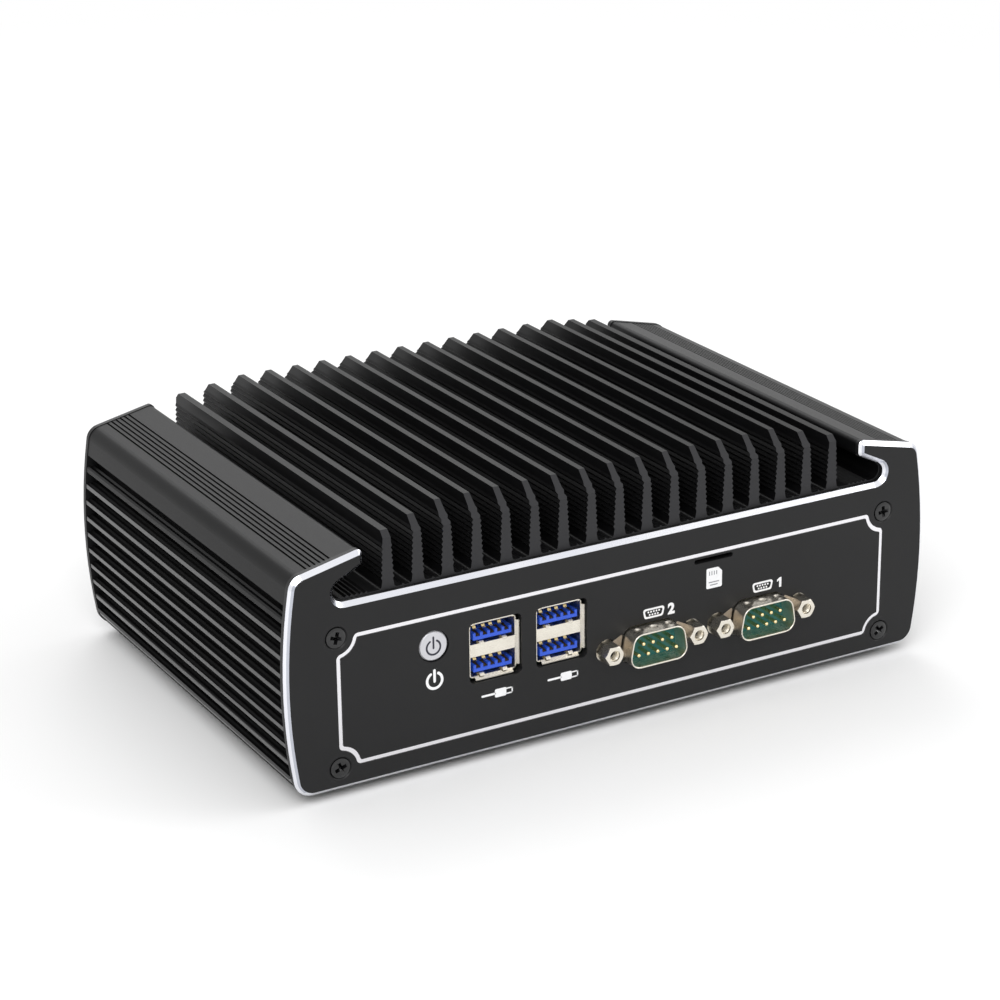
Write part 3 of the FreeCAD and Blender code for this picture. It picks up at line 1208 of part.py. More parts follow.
# ---------------------------------------------------------------- power button
def power_button():
    body = new_body("0", "button_x", "button_z")
    cap_length = "panel_thickness + button_rest - button_set"
    cap = pad(body, [circle(0, 0, S.button_radius)], cap_length, "button_set")
    rim = [f"Edge{number}" for number, edge in enumerate(cap.Shape.Edges, start=1)
           if edge.Closed and abs(edge.CenterOfMass.y - S.button_set) < 1e-6]
    dress(body, "Chamfer", cap, rim, "Size", "button_edge")
    pad(body, [circle(0, 0, S.button_flange)], "button_flange_thickness",
        "(panel_thickness + button_rest)")
    pad(body, [circle(0, 0, S.button_stem)], "button_stem_length",
        "(panel_thickness + button_rest + button_flange_thickness)")
    node(body, "power_button")
    start = f"({SWITCH_FRONT} - plunger_reach)"
    node(rod("Y", "button_x", start, "button_z", "plunger_radius", "plunger_length"), "switch_plunger")
    case = mid_box("button_x", SWITCH_FRONT, "(button_z - switch_size / 2)", "switch_size", "switch_depth",
                   "switch_size")
    well = rod("Y", "button_x", SWITCH_FRONT, "button_z", "plunger_radius + plunger_play",
               "plunger_length - plunger_reach + button_travel + plunger_play")
    node(cut(case, well), "tact_switch")
    node(mid_box("button_x", f"({SWITCH_FRONT} + switch_depth)", BOARD_TOP, "button_board_width",
                 "board_thickness", "button_board_height"), "button_board")


# ---------------------------------------------------------------- SIM card holder
def sim_holder():
    start = "(panel_thickness + sim_holder_gap)"
    case = mid_box("sim_x", start, "(sim_z - sim_slot_height / 2 - sim_holder_wall)", "sim_holder_width",
                   "sim_holder_depth", "sim_slot_height + 2 * sim_holder_wall")
    room = mid_box("sim_x", start, "(sim_z - sim_slot_height / 2)", "sim_holder_width - 2 * sim_holder_wall",
                   "sim_holder_depth - sim_holder_wall", "sim_slot_height")
    node(cut(case, room), "sim_holder")
    node(mid_box("sim_x", start, SIM_TOP, "2 * sim_board_reach", "sim_board_depth", "board_thickness"),
         "sim_board")
    posts = [rod("Z", f"(sim_x + {side} * sim_post_x)", "(panel_thickness + sim_post_y)",
                 f"({SIM_TOP} + board_thickness)", "sim_post_radius",
                 f"ceiling_height - {SIM_TOP} - board_thickness") for side in (1, -1)]
    node(group(posts), "sim_board_posts")


# ---------------------------------------------------------------- rear ports
def rear_start(depth):
    return f"({REAR_PORT} - {depth})"


def network_port(number):
    x = f"(lan_x - {number - 1} * lan_pitch)"
    y = rear_start("lan_depth")
    block = mid_box(x, y, BOARD_TOP, "lan_width", "lan_depth", "lan_height")
    core = mid_box(x, f"({y} + lan_wall)", f"({BOARD_TOP} + lan_wall)", "lan_width - 2 * lan_wall",
                   "lan_depth - lan_wall", "lan_height - 2 * lan_wall")
    node(cut(block, core), f"network_{number}_shell")
    filling = mid_box(x, f"({y} + lan_wall)", f"({BOARD_TOP} + lan_wall)", "lan_width - 2 * lan_wall",
                      "lan_depth - 2 * lan_wall", "lan_height - 2 * lan_wall")
    mouth = f"({REAR_PORT} - lan_hole_depth)"
    room = mid_box(x, mouth, f"({BOARD_TOP} + lan_hole_rise)", "lan_hole_width", "lan_hole_depth",
                   "lan_hole_height")
    latch = mid_box(x, mouth, f"({BOARD_TOP} + lan_hole_rise + lan_hole_height)", "lan_latch_width",
                    "lan_hole_depth", "lan_latch_height")
    node(cut(filling, room, latch), f"network_{number}_insert")


def video_port(number):
    x = S.hdmi_x + (number - 1) * S.hdmi_pitch
    low = S.usb_z - S.usb_height / 2

    def section(grow):
        w, h, c = S.hdmi_width / 2 + grow, S.hdmi_height, S.hdmi_cant
        return polygon([(x - w + c, low - grow), (x + w - c, low - grow), (x + w, low - grow + c),
                        (x + w, low + h + grow), (x - w, low + h + grow), (x - w, low - grow + c)])

    shell = new_body(rear_start("hdmi_depth"))
    pad(shell, [section(0)], "hdmi_depth")
    pocket(shell, [section(-S.hdmi_wall)], None, "(hdmi_depth - hdmi_well)")
    node(shell, f"video_{number}_shell")
    node(mid_box(f"(hdmi_x + {number - 1} * hdmi_pitch)", f"({REAR_PORT} - hdmi_well)",
                 f"({BOARD_TOP} + hdmi_height / 2)", "hdmi_tongue_width", "hdmi_well - 2 * hdmi_wall",
                 "hdmi_tongue_height"), f"video_{number}_tongue")


def small_rear_ports():
    case = mid_box("dc_x", rear_start("dc_depth"), BOARD_TOP, "dc_width", "dc_depth", "dc_height")
    middle = f"({BOARD_TOP} + dc_height / 2)"
    node(cut(case, rod("Y", "dc_x", rear_start("dc_bore_depth"), middle, "dc_bore", "dc_bore_depth")),
         "power_inlet")
    node(rod("Y", "dc_x", rear_start("dc_bore_depth"), middle, "dc_pin", "dc_bore_depth - rear_set"),
         "power_inlet_pin")
    jacks = []
    for number in range(2):
        x = f"(audio_x - {number} * audio_pitch)"
        middle = f"({BOARD_TOP} + audio_height / 2)"
        inner = f"({INNER_REAR} - board_gap - audio_depth)"
        case = mid_box(x, inner, BOARD_TOP, "audio_width", "audio_depth", "audio_height")
        collar = rod("Y", x, inner, middle, "audio_collar", f"{REAR_PORT} - {inner}")
        bore = rod("Y", x, rear_start("audio_bore_depth"), middle, "audio_bore", "audio_bore_depth")
        jacks.append(cut(fuse(case, collar), bore))
    node(group(jacks), "sound_jacks")
    plugs = [fuse(rod("Y", f"{side} * plug_x", "case_depth", "plug_z", "plug_flange", "plug_head"),
                  rod("Y", f"{side} * plug_x", "(case_depth - plug_length)", "plug_z",
                      "plug_radius - plug_play", "plug_length")) for side in (1, -1)]
    node(group(plugs), "antenna_hole_plugs")


# ---------------------------------------------------------------- the whole part
heatsink_housing()
front_panel()
rear_panel()
screws()
bottom_cover()
mainboard()
processor()
plugged_card("memory", "memory_x", "memory_y", "(memory_y + socket_lap - memory_length)",
             "memory_width", "memory_length", "memory_rise", "socket_height", True)
plugged_card("storage", "storage_x", "storage_y", "(storage_y + socket_depth - socket_lap)",
             "storage_width", "storage_length", "storage_rise", "storage_socket_height", False)
coin_cell()
for port in (1, 2):
    usb_stack(port)
    serial_port(port)
    network_port(port)
    video_port(port)
serial_board()
power_button()
sim_holder()
small_rear_ports()
doc.recompute()

failed = [obj.Label for obj in doc.Objects if {"Invalid", "Error"} & set(obj.State)]
if failed:
    raise RuntimeError(f"failed objects: {failed}")
os.makedirs("parts", exist_ok=True)
for name, obj in nodes.items():
    if obj.Shape.isNull() or not obj.Shape.isValid() or obj.Shape.Volume <= 0:
        raise RuntimeError(f"{name} has no valid solid")
    obj.Shape.exportStep(f"parts/{name}.step")
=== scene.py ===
"""Looks of the fanless industrial PC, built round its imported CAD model.

Lengths are in metres in the CAD model's own frame: +X to the right along the front panel, +Y to the
back, +Z up, with the origin under the middle of the part. MM turns millimetres into metres.
Outlines of printed signs and the grain of finishes are given in millimetres.
"""
import json
import math

import bmesh
import bpy
from mathutils import Matrix, Vector


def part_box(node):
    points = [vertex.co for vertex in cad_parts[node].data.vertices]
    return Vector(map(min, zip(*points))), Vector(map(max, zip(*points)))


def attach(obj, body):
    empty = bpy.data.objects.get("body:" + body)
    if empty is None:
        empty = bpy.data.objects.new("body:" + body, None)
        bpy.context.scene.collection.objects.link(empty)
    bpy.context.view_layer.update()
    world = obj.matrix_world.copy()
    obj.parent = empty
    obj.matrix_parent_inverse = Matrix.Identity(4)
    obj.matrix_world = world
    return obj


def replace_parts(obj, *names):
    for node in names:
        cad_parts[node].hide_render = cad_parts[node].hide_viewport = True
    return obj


MM = 0.001

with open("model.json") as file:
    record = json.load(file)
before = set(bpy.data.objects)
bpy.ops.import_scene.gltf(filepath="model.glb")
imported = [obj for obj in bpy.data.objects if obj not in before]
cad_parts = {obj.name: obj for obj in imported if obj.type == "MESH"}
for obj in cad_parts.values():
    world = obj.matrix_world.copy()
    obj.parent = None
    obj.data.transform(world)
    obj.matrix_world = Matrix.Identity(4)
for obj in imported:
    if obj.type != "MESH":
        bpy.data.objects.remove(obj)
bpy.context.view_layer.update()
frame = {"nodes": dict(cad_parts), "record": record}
NODES = frame["nodes"]

# ---------------------------------------------------------------- places read from the frame
PANEL_LOW, PANEL_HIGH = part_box("front_panel")
FACE_Y = PANEL_LOW.y
REAR_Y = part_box("rear_panel")[1].y
CASE_Z = PANEL_LOW.z
SIDE_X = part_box("heatsink_housing")[1].x
SCREWS_LOW, SCREWS_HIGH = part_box("front_panel_screws")

# ---------------------------------------------------------------- sizes of what the finishes follow
# The housing's bowed sides, with the grooves between their lands; heights are above the underside.
SIDE_RADIUS = 150 * MM
SIDE_CREST = 27.5 * MM
GROOVES_TOP = 44.8 * MM
GROOVE_DEPTH = 6 * MM
LAND_SKIN = 0.12 * MM

# The panels' milled line, the front half of their chamfer, and their screws with the black seats.
LINE_DEPTH = 0.2 * MM
CHAMFER_FRONT = 0.5 * MM
HEAD_RADIUS = 2.7 * MM
SEAT_RADIUS = 3.3 * MM
SCREW_X = SCREWS_HIGH.x - HEAD_RADIUS
SCREW_ZS = (SCREWS_LOW.z + HEAD_RADIUS, SCREWS_HIGH.z - HEAD_RADIUS)


# ---------------------------------------------------------------- material helpers
class Paint:
    """A node material under construction."""

    def __init__(self, name, color=(0.8, 0.8, 0.8), roughness=0.5, metallic=0.0, specular=0.5):
        self.material = bpy.data.materials.new(name)
        self.material.use_nodes = True
        self.tree = self.material.node_tree
        self.shader = self.tree.nodes["Principled BSDF"]
        self.set("Base Color", (*color, 1.0))
        self.set("Roughness", roughness)
        self.set("Metallic", metallic)
        self.set("Specular IOR Level", specular)
        self.places = self.node("ShaderNodeTexCoord")

    def node(self, kind, **values):
        """New node; values go to its properties, or to its inputs by position with in0, in1, ..."""
        item = self.tree.nodes.new(kind)
        for key, value in values.items():
            if key.startswith("in") and key[2:].isdigit():
                self.feed(item.inputs[int(key[2:])], value)
            else:
                setattr(item, key, value)
        return item

    def feed(self, socket, value):
        """Link another node's output to a socket, or give the socket a value of its own."""
        if isinstance(value, bpy.types.NodeSocket):
            self.tree.links.new(value, socket)
        elif isinstance(value, tuple) and len(value) == 3 and socket.type == "RGBA":
            socket.default_value = (*value, 1.0)
        else:
            socket.default_value = value

    def set(self, name, value):
        """Feed one of the shader's own sockets."""
        self.feed(self.shader.inputs[name], value)

    def math(self, operation, a, b=0.0):
        return self.node("ShaderNodeMath", operation=operation, in0=a, in1=b).outputs[0]

    def over(self, value, limit):
        """1 where a value is over its limit, and 0 elsewhere."""
        return self.math("GREATER_THAN", value, limit)

    def under(self, value, limit):
        return self.math("LESS_THAN", value, limit)

    def both(self, a, b):
        """Where two masks overlap."""
        return self.math("MULTIPLY", a, b)

    def between(self, value, low, high):
        return self.both(self.over(value, low), self.under(value, high))

    def distance(self, x, z):
        """How far (x, z) is from (0, 0)."""
        arm = self.node("ShaderNodeCombineXYZ", in0=x, in2=z).outputs[0]
        return self.node("ShaderNodeVectorMath", operation="LENGTH", in0=arm).outputs["Value"]

    def mix(self, factor, a, b):
        """Colour between a and b."""
        return self.node("ShaderNodeMix", data_type="RGBA", in0=factor, in6=a, in7=b).outputs[2]

    def blend(self, factor, a, b):
        """Number between a and b."""
        return self.node("ShaderNodeMix", data_type="FLOAT", in0=factor, in2=a, in3=b).outputs[0]

    def axes(self, output):
        """X, Y and Z of the object's own coordinates or normal."""
        return self.node("ShaderNodeSeparateXYZ", in0=self.places.outputs[output]).outputs

    def noise(self, grain, detail, stretch=(1, 1, 1)):
        """Noise with grains of a size in millimetres, longer along the stretched axes."""
        mapping = self.node("ShaderNodeMapping", in0=self.places.outputs["Object"])
        mapping.inputs["Scale"].default_value = [1 / (grain * MM * factor) for factor in stretch]
        texture = self.node("ShaderNodeTexNoise", in0=mapping.outputs[0])
        texture.inputs["Scale"].default_value = 1.0
        texture.inputs["Detail"].default_value = detail
        return texture.outputs["Fac"]

    def spread(self, noise, low, high):
        """Noise, which mostly lies between 0.3 and 0.7, spread over another range."""
        return self.node("ShaderNodeMapRange", in0=noise, in1=0.3, in2=0.7, in3=low, in4=high).outputs[0]

    def bump(self, height, strength, depth):
        """Uneven surface, with its depth in millimetres."""
        item = self.node("ShaderNodeBump", in0=strength, in1=depth * MM)
        self.feed(item.inputs["Height"], height)
        self.set("Normal", item.outputs[0])


# ---------------------------------------------------------------- finishes
def plain(name, color, roughness, metallic=0.0, specular=0.5, grain=0.35, depth=0.01):
    """One colour with a fine grain, faint clouds and slightly uneven gloss."""
    uneven, clouds, shade = 0.05, 9, 0.9
    paint = Paint(name, color, roughness, metallic, specular)
    fine = paint.noise(grain, 3)
    paint.set("Roughness", paint.spread(fine, roughness - uneven, roughness + uneven))
    darker = tuple(part * shade for part in color)
    paint.set("Base Color", paint.mix(paint.noise(grain * clouds, 2), darker, color))
    paint.bump(fine, 0.5, depth)
    return paint.material


def extrusion_black():
    """Black anodised extrusion: glossy lands and rough grooves on its sides, with painted shade darkening
    the grooves, fine die lines along its length, and greyer where it was sawn."""
    paint = Paint("extrusion_black", specular=0.12)
    normal, place = paint.axes("Normal"), paint.axes("Object")

    across = paint.math("SUBTRACT", paint.math("ABSOLUTE", place[0]), SIDE_X - SIDE_RADIUS)
    up = paint.math("SUBTRACT", place[2], CASE_Z + SIDE_CREST)
    reach = paint.distance(across, up)
    grooved = paint.under(place[2], CASE_Z + GROOVES_TOP)
    land = paint.both(grooved, paint.over(reach, SIDE_RADIUS - LAND_SKIN))
    groove = paint.both(grooved, paint.math("SUBTRACT", 1.0, land))
    groove = paint.both(groove, paint.over(reach, SIDE_RADIUS - GROOVE_DEPTH))
    sawn = paint.over(paint.math("ABSOLUTE", normal[1]), 0.5)

    blast = paint.noise(0.22, 3)
    lines = paint.noise(0.3, 2, stretch=(1, 150, 1))
    skin = paint.mix(paint.noise(14, 2), (0.0030, 0.0030, 0.0033), (0.0055, 0.0055, 0.0059))
    # painted shade: the grooves between the lands get a darker colour than the outer skin
    skin = paint.mix(groove, skin, (0.0022, 0.0022, 0.0024))
    paint.set("Base Color", paint.mix(sawn, skin, (0.032, 0.032, 0.034)))
    drawn_gloss = paint.blend(groove, paint.spread(blast, 0.30, 0.42), 0.75)
    paint.set("Roughness", paint.blend(sawn, drawn_gloss, paint.spread(blast, 0.4, 0.55)))
    paint.set("Coat Weight", paint.math("MULTIPLY", land, 0.85))
    paint.set("Coat Roughness", 0.3)
    grain = paint.math("ADD", paint.math("MULTIPLY", blast, 0.6), paint.math("MULTIPLY", lines, 0.4))
    paint.bump(grain, 0.2, 0.008)
    return paint.material


def panel_black(name, face_y, outward):
    """Black anodised end panel with its diamond-cut chamfer and milled line, the front half of the chamfer
    on its upright sides darkened with painted shade; outward is -1 in front.
    """
    paint = Paint(name, specular=0.27)
    normal, place = paint.axes("Normal"), paint.axes("Object")

    # A face turned straight outwards has facing 1, and a chamfer at 45 degrees has 0.71.
    facing = paint.math("MULTIPLY", normal[1], outward)
    depth = paint.math("MULTIPLY", paint.math("SUBTRACT", place[1], face_y), -outward)
    chamfer = paint.between(facing, 0.55, 0.85)
    across = paint.math("SUBTRACT", paint.math("ABSOLUTE", place[0]), SCREW_X)
    for screw_z in SCREW_ZS:
        away = paint.distance(across, paint.math("SUBTRACT", place[2], screw_z))
        chamfer = paint.both(chamfer, paint.over(away, SEAT_RADIUS))
    line = paint.both(paint.over(facing, 0.9), paint.between(depth, LINE_DEPTH * 0.3, LINE_DEPTH * 1.5))
    bright = paint.math("MAXIMUM", chamfer, line)
    upright = paint.over(paint.math("ABSOLUTE", normal[0]), 0.4)
    # painted shade: mask of the front half of the chamfer on the panel's upright sides
    dull = paint.both(upright, paint.under(depth, CHAMFER_FRONT))

    blast = paint.noise(0.25, 3)
    skin = paint.mix(paint.noise(18, 2), (0.0075, 0.0075, 0.008), (0.0105, 0.0105, 0.011))
    facet = paint.mix(paint.noise(26, 1), (0.66, 0.68, 0.76), (0.94, 0.94, 0.96))
    # painted shade: that part of the chamfer gets a darker grey than the rest
    facet = paint.mix(dull, facet, (0.50, 0.52, 0.58))
    cut = paint.mix(chamfer, (0.84, 0.83, 0.86), facet)
    paint.set("Base Color", paint.mix(bright, skin, cut))
    paint.set("Metallic", bright)
    paint.set("Roughness", paint.blend(bright, paint.spread(blast, 0.38, 0.5), 0.2))
    paint.bump(paint.math("MULTIPLY", blast, paint.math("SUBTRACT", 1.0, bright)), 0.35, 0.02)
    return paint.material


def nickel():
    """Nickel-plated pressed steel: warm white, with faint rolling lines."""
    paint = Paint("nickel", (0.83, 0.78, 0.68), 0.3, 1.0)
    paint.set("Base Color", paint.mix(paint.noise(2.5, 3), (0.74, 0.69, 0.6), (0.88, 0.84, 0.75)))
    rolled = paint.noise(0.12, 2, stretch=(25, 1, 1))
    paint.set("Roughness", paint.spread(rolled, 0.22, 0.36))
    paint.bump(rolled, 0.25, 0.008)
    return paint.material


def circuit_board():
    """Green solder resist with a faint weave."""
    paint = Paint("circuit_board", roughness=0.35)
    weave = paint.math("MULTIPLY", paint.noise(0.5, 1, (1, 12, 1)), paint.noise(0.5, 1, (12, 1, 1)))
    paint.set("Base Color", paint.mix(weave, (0.004, 0.045, 0.02), (0.012, 0.11, 0.05)))
    paint.bump(weave, 0.3, 0.02)
    return paint.material


METAL = {"metallic": 1.0}
PRINT = {"roughness": 0.5, "specular": 0.3, "grain": 0.15, "depth": 0.004}
PLAIN_FINISHES = {
    "black_sheet": {"color": (0.016, 0.016, 0.017), "roughness": 0.5, "grain": 0.6, "depth": 0.03},
    "black_screw": {"color": (0.005, 0.005, 0.0055), "roughness": 0.14, "specular": 0.6, "grain": 0.3,
                    "depth": 0.004},
    "black_plastic": {"color": (0.012, 0.012, 0.013), "roughness": 0.42, "grain": 0.3},
    "blue_plastic": {"color": (0.02, 0.09, 0.62), "roughness": 0.35, "grain": 0.3},
    "teal_plastic": {"color": (0.0, 0.135, 0.13), "roughness": 0.4, "grain": 0.3},
    "foot_rubber": {"color": (0.014, 0.014, 0.014), "roughness": 0.75, "grain": 0.4, "depth": 0.03},
    "thermal_pad": {"color": (0.3, 0.35, 0.42), "roughness": 0.8, "grain": 0.8, "depth": 0.04},
    "chip_black": {"color": (0.02, 0.02, 0.022), "roughness": 0.55},
    "button_silver": {"color": (0.62, 0.62, 0.65), "roughness": 0.38, "metallic": 0.5, "grain": 0.2},
    "zinc_steel": {"color": (0.62, 0.62, 0.61), "roughness": 0.35, **METAL},
    "cell_steel": {"color": (0.7, 0.7, 0.69), "roughness": 0.25, **METAL},
    "bare_aluminium": {"color": (0.75, 0.75, 0.76), "roughness": 0.35, **METAL},
    "brass_post": {"color": (0.7, 0.5, 0.2), "roughness": 0.3, **METAL},
    # painted shade: a darker copy of nickel for the flange seen behind the panel
    "dull_nickel": {"color": (0.36, 0.31, 0.26), "roughness": 0.32, "grain": 0.4, **METAL},
    "gold_contact": {"color": (0.95, 0.78, 0.42), "roughness": 0.22, "grain": 0.2, **METAL},
    # painted shade: a dark copy of gold for the contacts that lie shaded in the tongues' notches
    "worn_gold": {"color": (0.055, 0.036, 0.018), "roughness": 0.35, "metallic": 0.3, "grain": 0.2},
    "white_ink": {"color": (0.86, 0.86, 0.87), **PRINT},
    "grey_ink": {"color": (0.25, 0.26, 0.27), **PRINT},
    "dark_ink": {"color": (0.03, 0.03, 0.045), **PRINT},
}
MATERIALS = {name: plain(name, **values) for name, values in PLAIN_FINISHES.items()}
MATERIALS["black_anodised"] = extrusion_black()
MATERIALS["panel_front"] = panel_black("panel_black_front", FACE_Y, -1.0)
MATERIALS["panel_rear"] = panel_black("panel_black_rear", REAR_Y, 1.0)
MATERIALS["circuit_board"] = circuit_board()
MATERIALS["nickel"] = nickel()


def dress_nodes():
    """Give every CAD node the finish of its record slot, and the end panels their own."""
    own = {"front_panel": "panel_front", "rear_panel": "panel_rear"}
    for part in frame["record"]["subparts"]:
        name = part["node"]
        finish = MATERIALS[own.get(name, part["material_slot"])]
        slots = NODES[name].material_slots
        for slot in slots:
            slot.material = finish
        if not slots:
            NODES[name].data.materials.append(finish)


# ---------------------------------------------------------------- building blocks for the pieces
def middle(node):
    """Middle of a CAD node in X and Z."""
    low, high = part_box(node)
    return (low.x + high.x) / 2, (low.z + high.z) / 2


def joined(name, meshes):
    """One mesh from several, with its faces turned outwards."""
    work = bmesh.new()
    for mesh in meshes:
        work.from_mesh(mesh)
        bpy.data.meshes.remove(mesh)
    bmesh.ops.recalc_face_normals(work, faces=work.faces)
    result = bpy.data.meshes.new(name)
    work.to_mesh(result)
    work.free()
    return result


def add(name, meshes, finish, body="case", smooth=None):
    """A new piece from its meshes, riding on a body; smooth is the angle below which edges are soft."""
    mesh = joined(name, meshes)
    mesh.materials.append(MATERIALS[finish])
    if smooth:
        mesh.shade_smooth()
        mesh.set_sharp_from_angle(angle=math.radians(smooth))
    piece = bpy.data.objects.new(name, mesh)
    bpy.context.scene.collection.objects.link(piece)
    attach(piece, body)
    return piece


def plate(outlines, face_y, thickness):
    """Flat plate in the XZ plane, its face at face_y; inner outlines are holes."""
    curve = bpy.data.curves.new("plate", "CURVE")
    curve.dimensions = "2D"
    curve.fill_mode = "BOTH"
    curve.extrude = thickness / 2
    for outline in outlines:
        spline = curve.splines.new("POLY")
        spline.points.add(len(outline) - 1)
        for target, (x, z) in zip(spline.points, outline):
            target.co = (x, z, 0.0, 1.0)
        spline.use_cyclic_u = True
    return stand_up(curve, 0.0, face_y + thickness / 2, 0.0)


def stand_up(curve, x, y, z):
    """Mesh of a flat curve or numeral, turned to face -Y and moved."""
    merge_distance = 1e-7
    holder = bpy.data.objects.new("flat", curve)
    mesh = bpy.data.meshes.new_from_object(holder)
    bpy.data.objects.remove(holder)
    mesh.transform(Matrix.Translation((x, y, z)) @ Matrix.Rotation(math.pi / 2, 4, "X"))
    work = bmesh.new()
    work.from_mesh(mesh)
    bmesh.ops.remove_doubles(work, verts=work.verts, dist=merge_distance)
    work.to_mesh(mesh)
    work.free()
    return mesh


def arc_points(x, z, radius, start, end, count=32):
    """Points on an arc, with angles in degrees."""
    angles = [math.radians(start + (end - start) * i / count) for i in range(count + 1)]
    return [(x + radius * math.cos(a), z + radius * math.sin(a)) for a in angles]


def ring_points(x, z, radius, count=32):
    return arc_points(x, z, radius, 0, 360, count)[:-1]


def stroke(points, width):
    """Outline of a pen stroke with round ends."""
    left, right = [], []
    for i, point in enumerate(points):
        before, after = points[max(i - 1, 0)], points[min(i + 1, len(points) - 1)]
        along = Vector((after[0] - before[0], after[1] - before[1])).normalized() * (width / 2)
        left.append((point[0] - along.y, point[1] + along.x))
        right.append((point[0] + along.y, point[1] - along.x))
    caps = []
    for end, start in ((points[-1], left[-1]), (points[0], right[0])):
        angle = math.degrees(math.atan2(start[1] - end[1], start[0] - end[0]))
        caps.append(arc_points(*end, width / 2, angle, angle - 180, 8)[1:-1])
    return left + caps[0] + right[::-1] + caps[1]


def bar(x, z, width, height):
    """Corners of a rectangle from its middle."""
    return [(x - width / 2, z - height / 2), (x + width / 2, z - height / 2),
            (x + width / 2, z + height / 2), (x - width / 2, z + height / 2)]


def soft_corners(corners, radius, steps=6):
    """Outline with each corner rounded by an arc of some steps."""
    points = []
    for i, corner in enumerate(corners):
        here = Vector(corner)
        back, ahead = Vector(corners[i - 1]) - here, Vector(corners[(i + 1) % len(corners)]) - here
        half = back.angle(ahead) / 2
        centre = here + (back.normalized() + ahead.normalized()).normalized() * (radius / math.sin(half))
        first = here + back.normalized() * (radius / math.tan(half)) - centre
        turn = math.pi - 2 * half
        if back.x * ahead.y - back.y * ahead.x > 0:
            turn = -turn
        for step in range(steps + 1):
            arm = first.copy()
            arm.rotate(Matrix.Rotation(turn * step / steps, 2))
            points.append(tuple(centre + arm))
    return points


def loft(loops, closed=False):
    """Skin through loops of equal length; a closed loft joins its last loop to its first."""
    count = len(loops[0])
    pairs = [(k, k + 1) for k in range(len(loops) - 1)]
    if closed:
        pairs.append((len(loops) - 1, 0))
    faces = []
    for a, b in pairs:
        for i in range(count):
            j = (i + 1) % count
            faces.append((a * count + i, a * count + j, b * count + j, b * count + i))
    if not closed:
        faces.append(tuple(range(count)))
        faces.append(tuple(range(count * (len(loops) - 1), count * len(loops))))
    mesh = bpy.data.meshes.new("loft")
    mesh.from_pydata([tuple(point) for loop in loops for point in loop], [], faces)
    return mesh


def turned(x, z, profile, count=24, closed=False):
    """Lathe about a line along Y; the profile is (y, radius) from end to end, or all round a section."""
    return loft([[(px, y, pz) for px, pz in ring_points(x, z, radius, count)] for y, radius in profile],
                closed)


def ribbon(x, path, width, thickness):
    """Bent strip across X whose upper face follows (y, z) points."""
    under = []
    for i, (y, z) in enumerate(path):
        before, after = path[max(i - 1, 0)], path[min(i + 1, len(path) - 1)]
        along = Vector((after[0] - before[0], after[1] - before[1])).normalized() * thickness
        under.append((y + along.y, z - along.x) if after[0] >= before[0] else (y - along.y, z + along.x))
    section = path + under[::-1]
    return loft([[(x + side * width / 2, y, z) for y, z in section] for side in (-1, 1)])


def hump(start, length, base, height, steps=8):
    """(y, z) points over half a sine wave."""
    return [(start + length * i / steps, base + height * math.sin(math.pi * i / steps))
            for i in range(steps + 1)]


# ---------------------------------------------------------------- printed signs
INK = 0.02 * MM


def inked(outlines, x, z, face_y=FACE_Y):
    """Thin plate from outlines in millimetres about x and z; inner outlines are holes."""
    return plate([[(x + px * MM, z + pz * MM) for px, pz in outline] for outline in outlines],
                 face_y - INK, INK)


def power_symbol(radius, width, reach):
    """Ring that is open at the top, with a bar in the gap."""
    gap = 30
    ring = stroke(arc_points(0, 0, radius, 90 + gap, 450 - gap, 48), width)
    return [ring, stroke([(0, -0.1 * radius), (0, reach)], width)]


def power_print():
    """Standby symbols: a white one below the power button and a dark one on its cap."""
    x, z = middle("power_button")
    cap_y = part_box("power_button")[0].y
    below, on_cap = z - 8.95 * MM, z - 0.35 * MM
    plates = [inked([o], x, below) for o in power_symbol(radius=2.05, width=0.7, reach=2.65)]
    add("power_print", plates, "white_ink")
    plates = [inked([o], x, on_cap, cap_y) for o in power_symbol(radius=1.85, width=0.5, reach=2.6)]
    add("button_print", plates, "dark_ink", "button")


def plug_symbol():
    """A plain plug lying along X: body, lead, and an open end drawn in thin lines."""
    line = 0.34
    body = soft_corners(bar(0.9, 0, 3.2, 2.2), 0.4)
    lead = stroke([(-4.2, 0), (-0.7, 0)], 0.55)
    tip = bar(4.15, 0, line, 1.7)
    sides = [bar(3.35, side * 0.68, 1.9, line) for side in (1, -1)]
    return [body, lead, tip] + sides


def plug_prints():
    """A plug under each USB stack."""
    aside, below = 0.25 * MM, 4.15 * MM
    for number in (1, 2):
        shell = f"usb_{number}_shell"
        x, z = middle(shell)[0] + aside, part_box(shell)[0].z - below
        add(f"usb_{number}_print", [inked([o], x, z) for o in plug_symbol()], "white_ink")


def numeral(text, x, z, height):
    """Plain bold 1 or 2, standing on z."""
    if text == "1":
        corners = ((-0.02, 0), (0.24, 0), (0.24, 1), (0.04, 1), (-0.26, 0.80), (-0.26, 0.58), (-0.02, 0.70))
        return inked([[(px * height, pz * height) for px, pz in corners]], x, z)
    digit_share, boldness = 0.69, 0.07
    curve = bpy.data.curves.new("numeral", "FONT")
    curve.body = text
    curve.align_x = "CENTER"
    curve.size = height * MM / digit_share
    curve.offset = boldness * height * MM
    curve.extrude = INK / 2
    return stand_up(curve, x, FACE_Y - INK / 2, z)


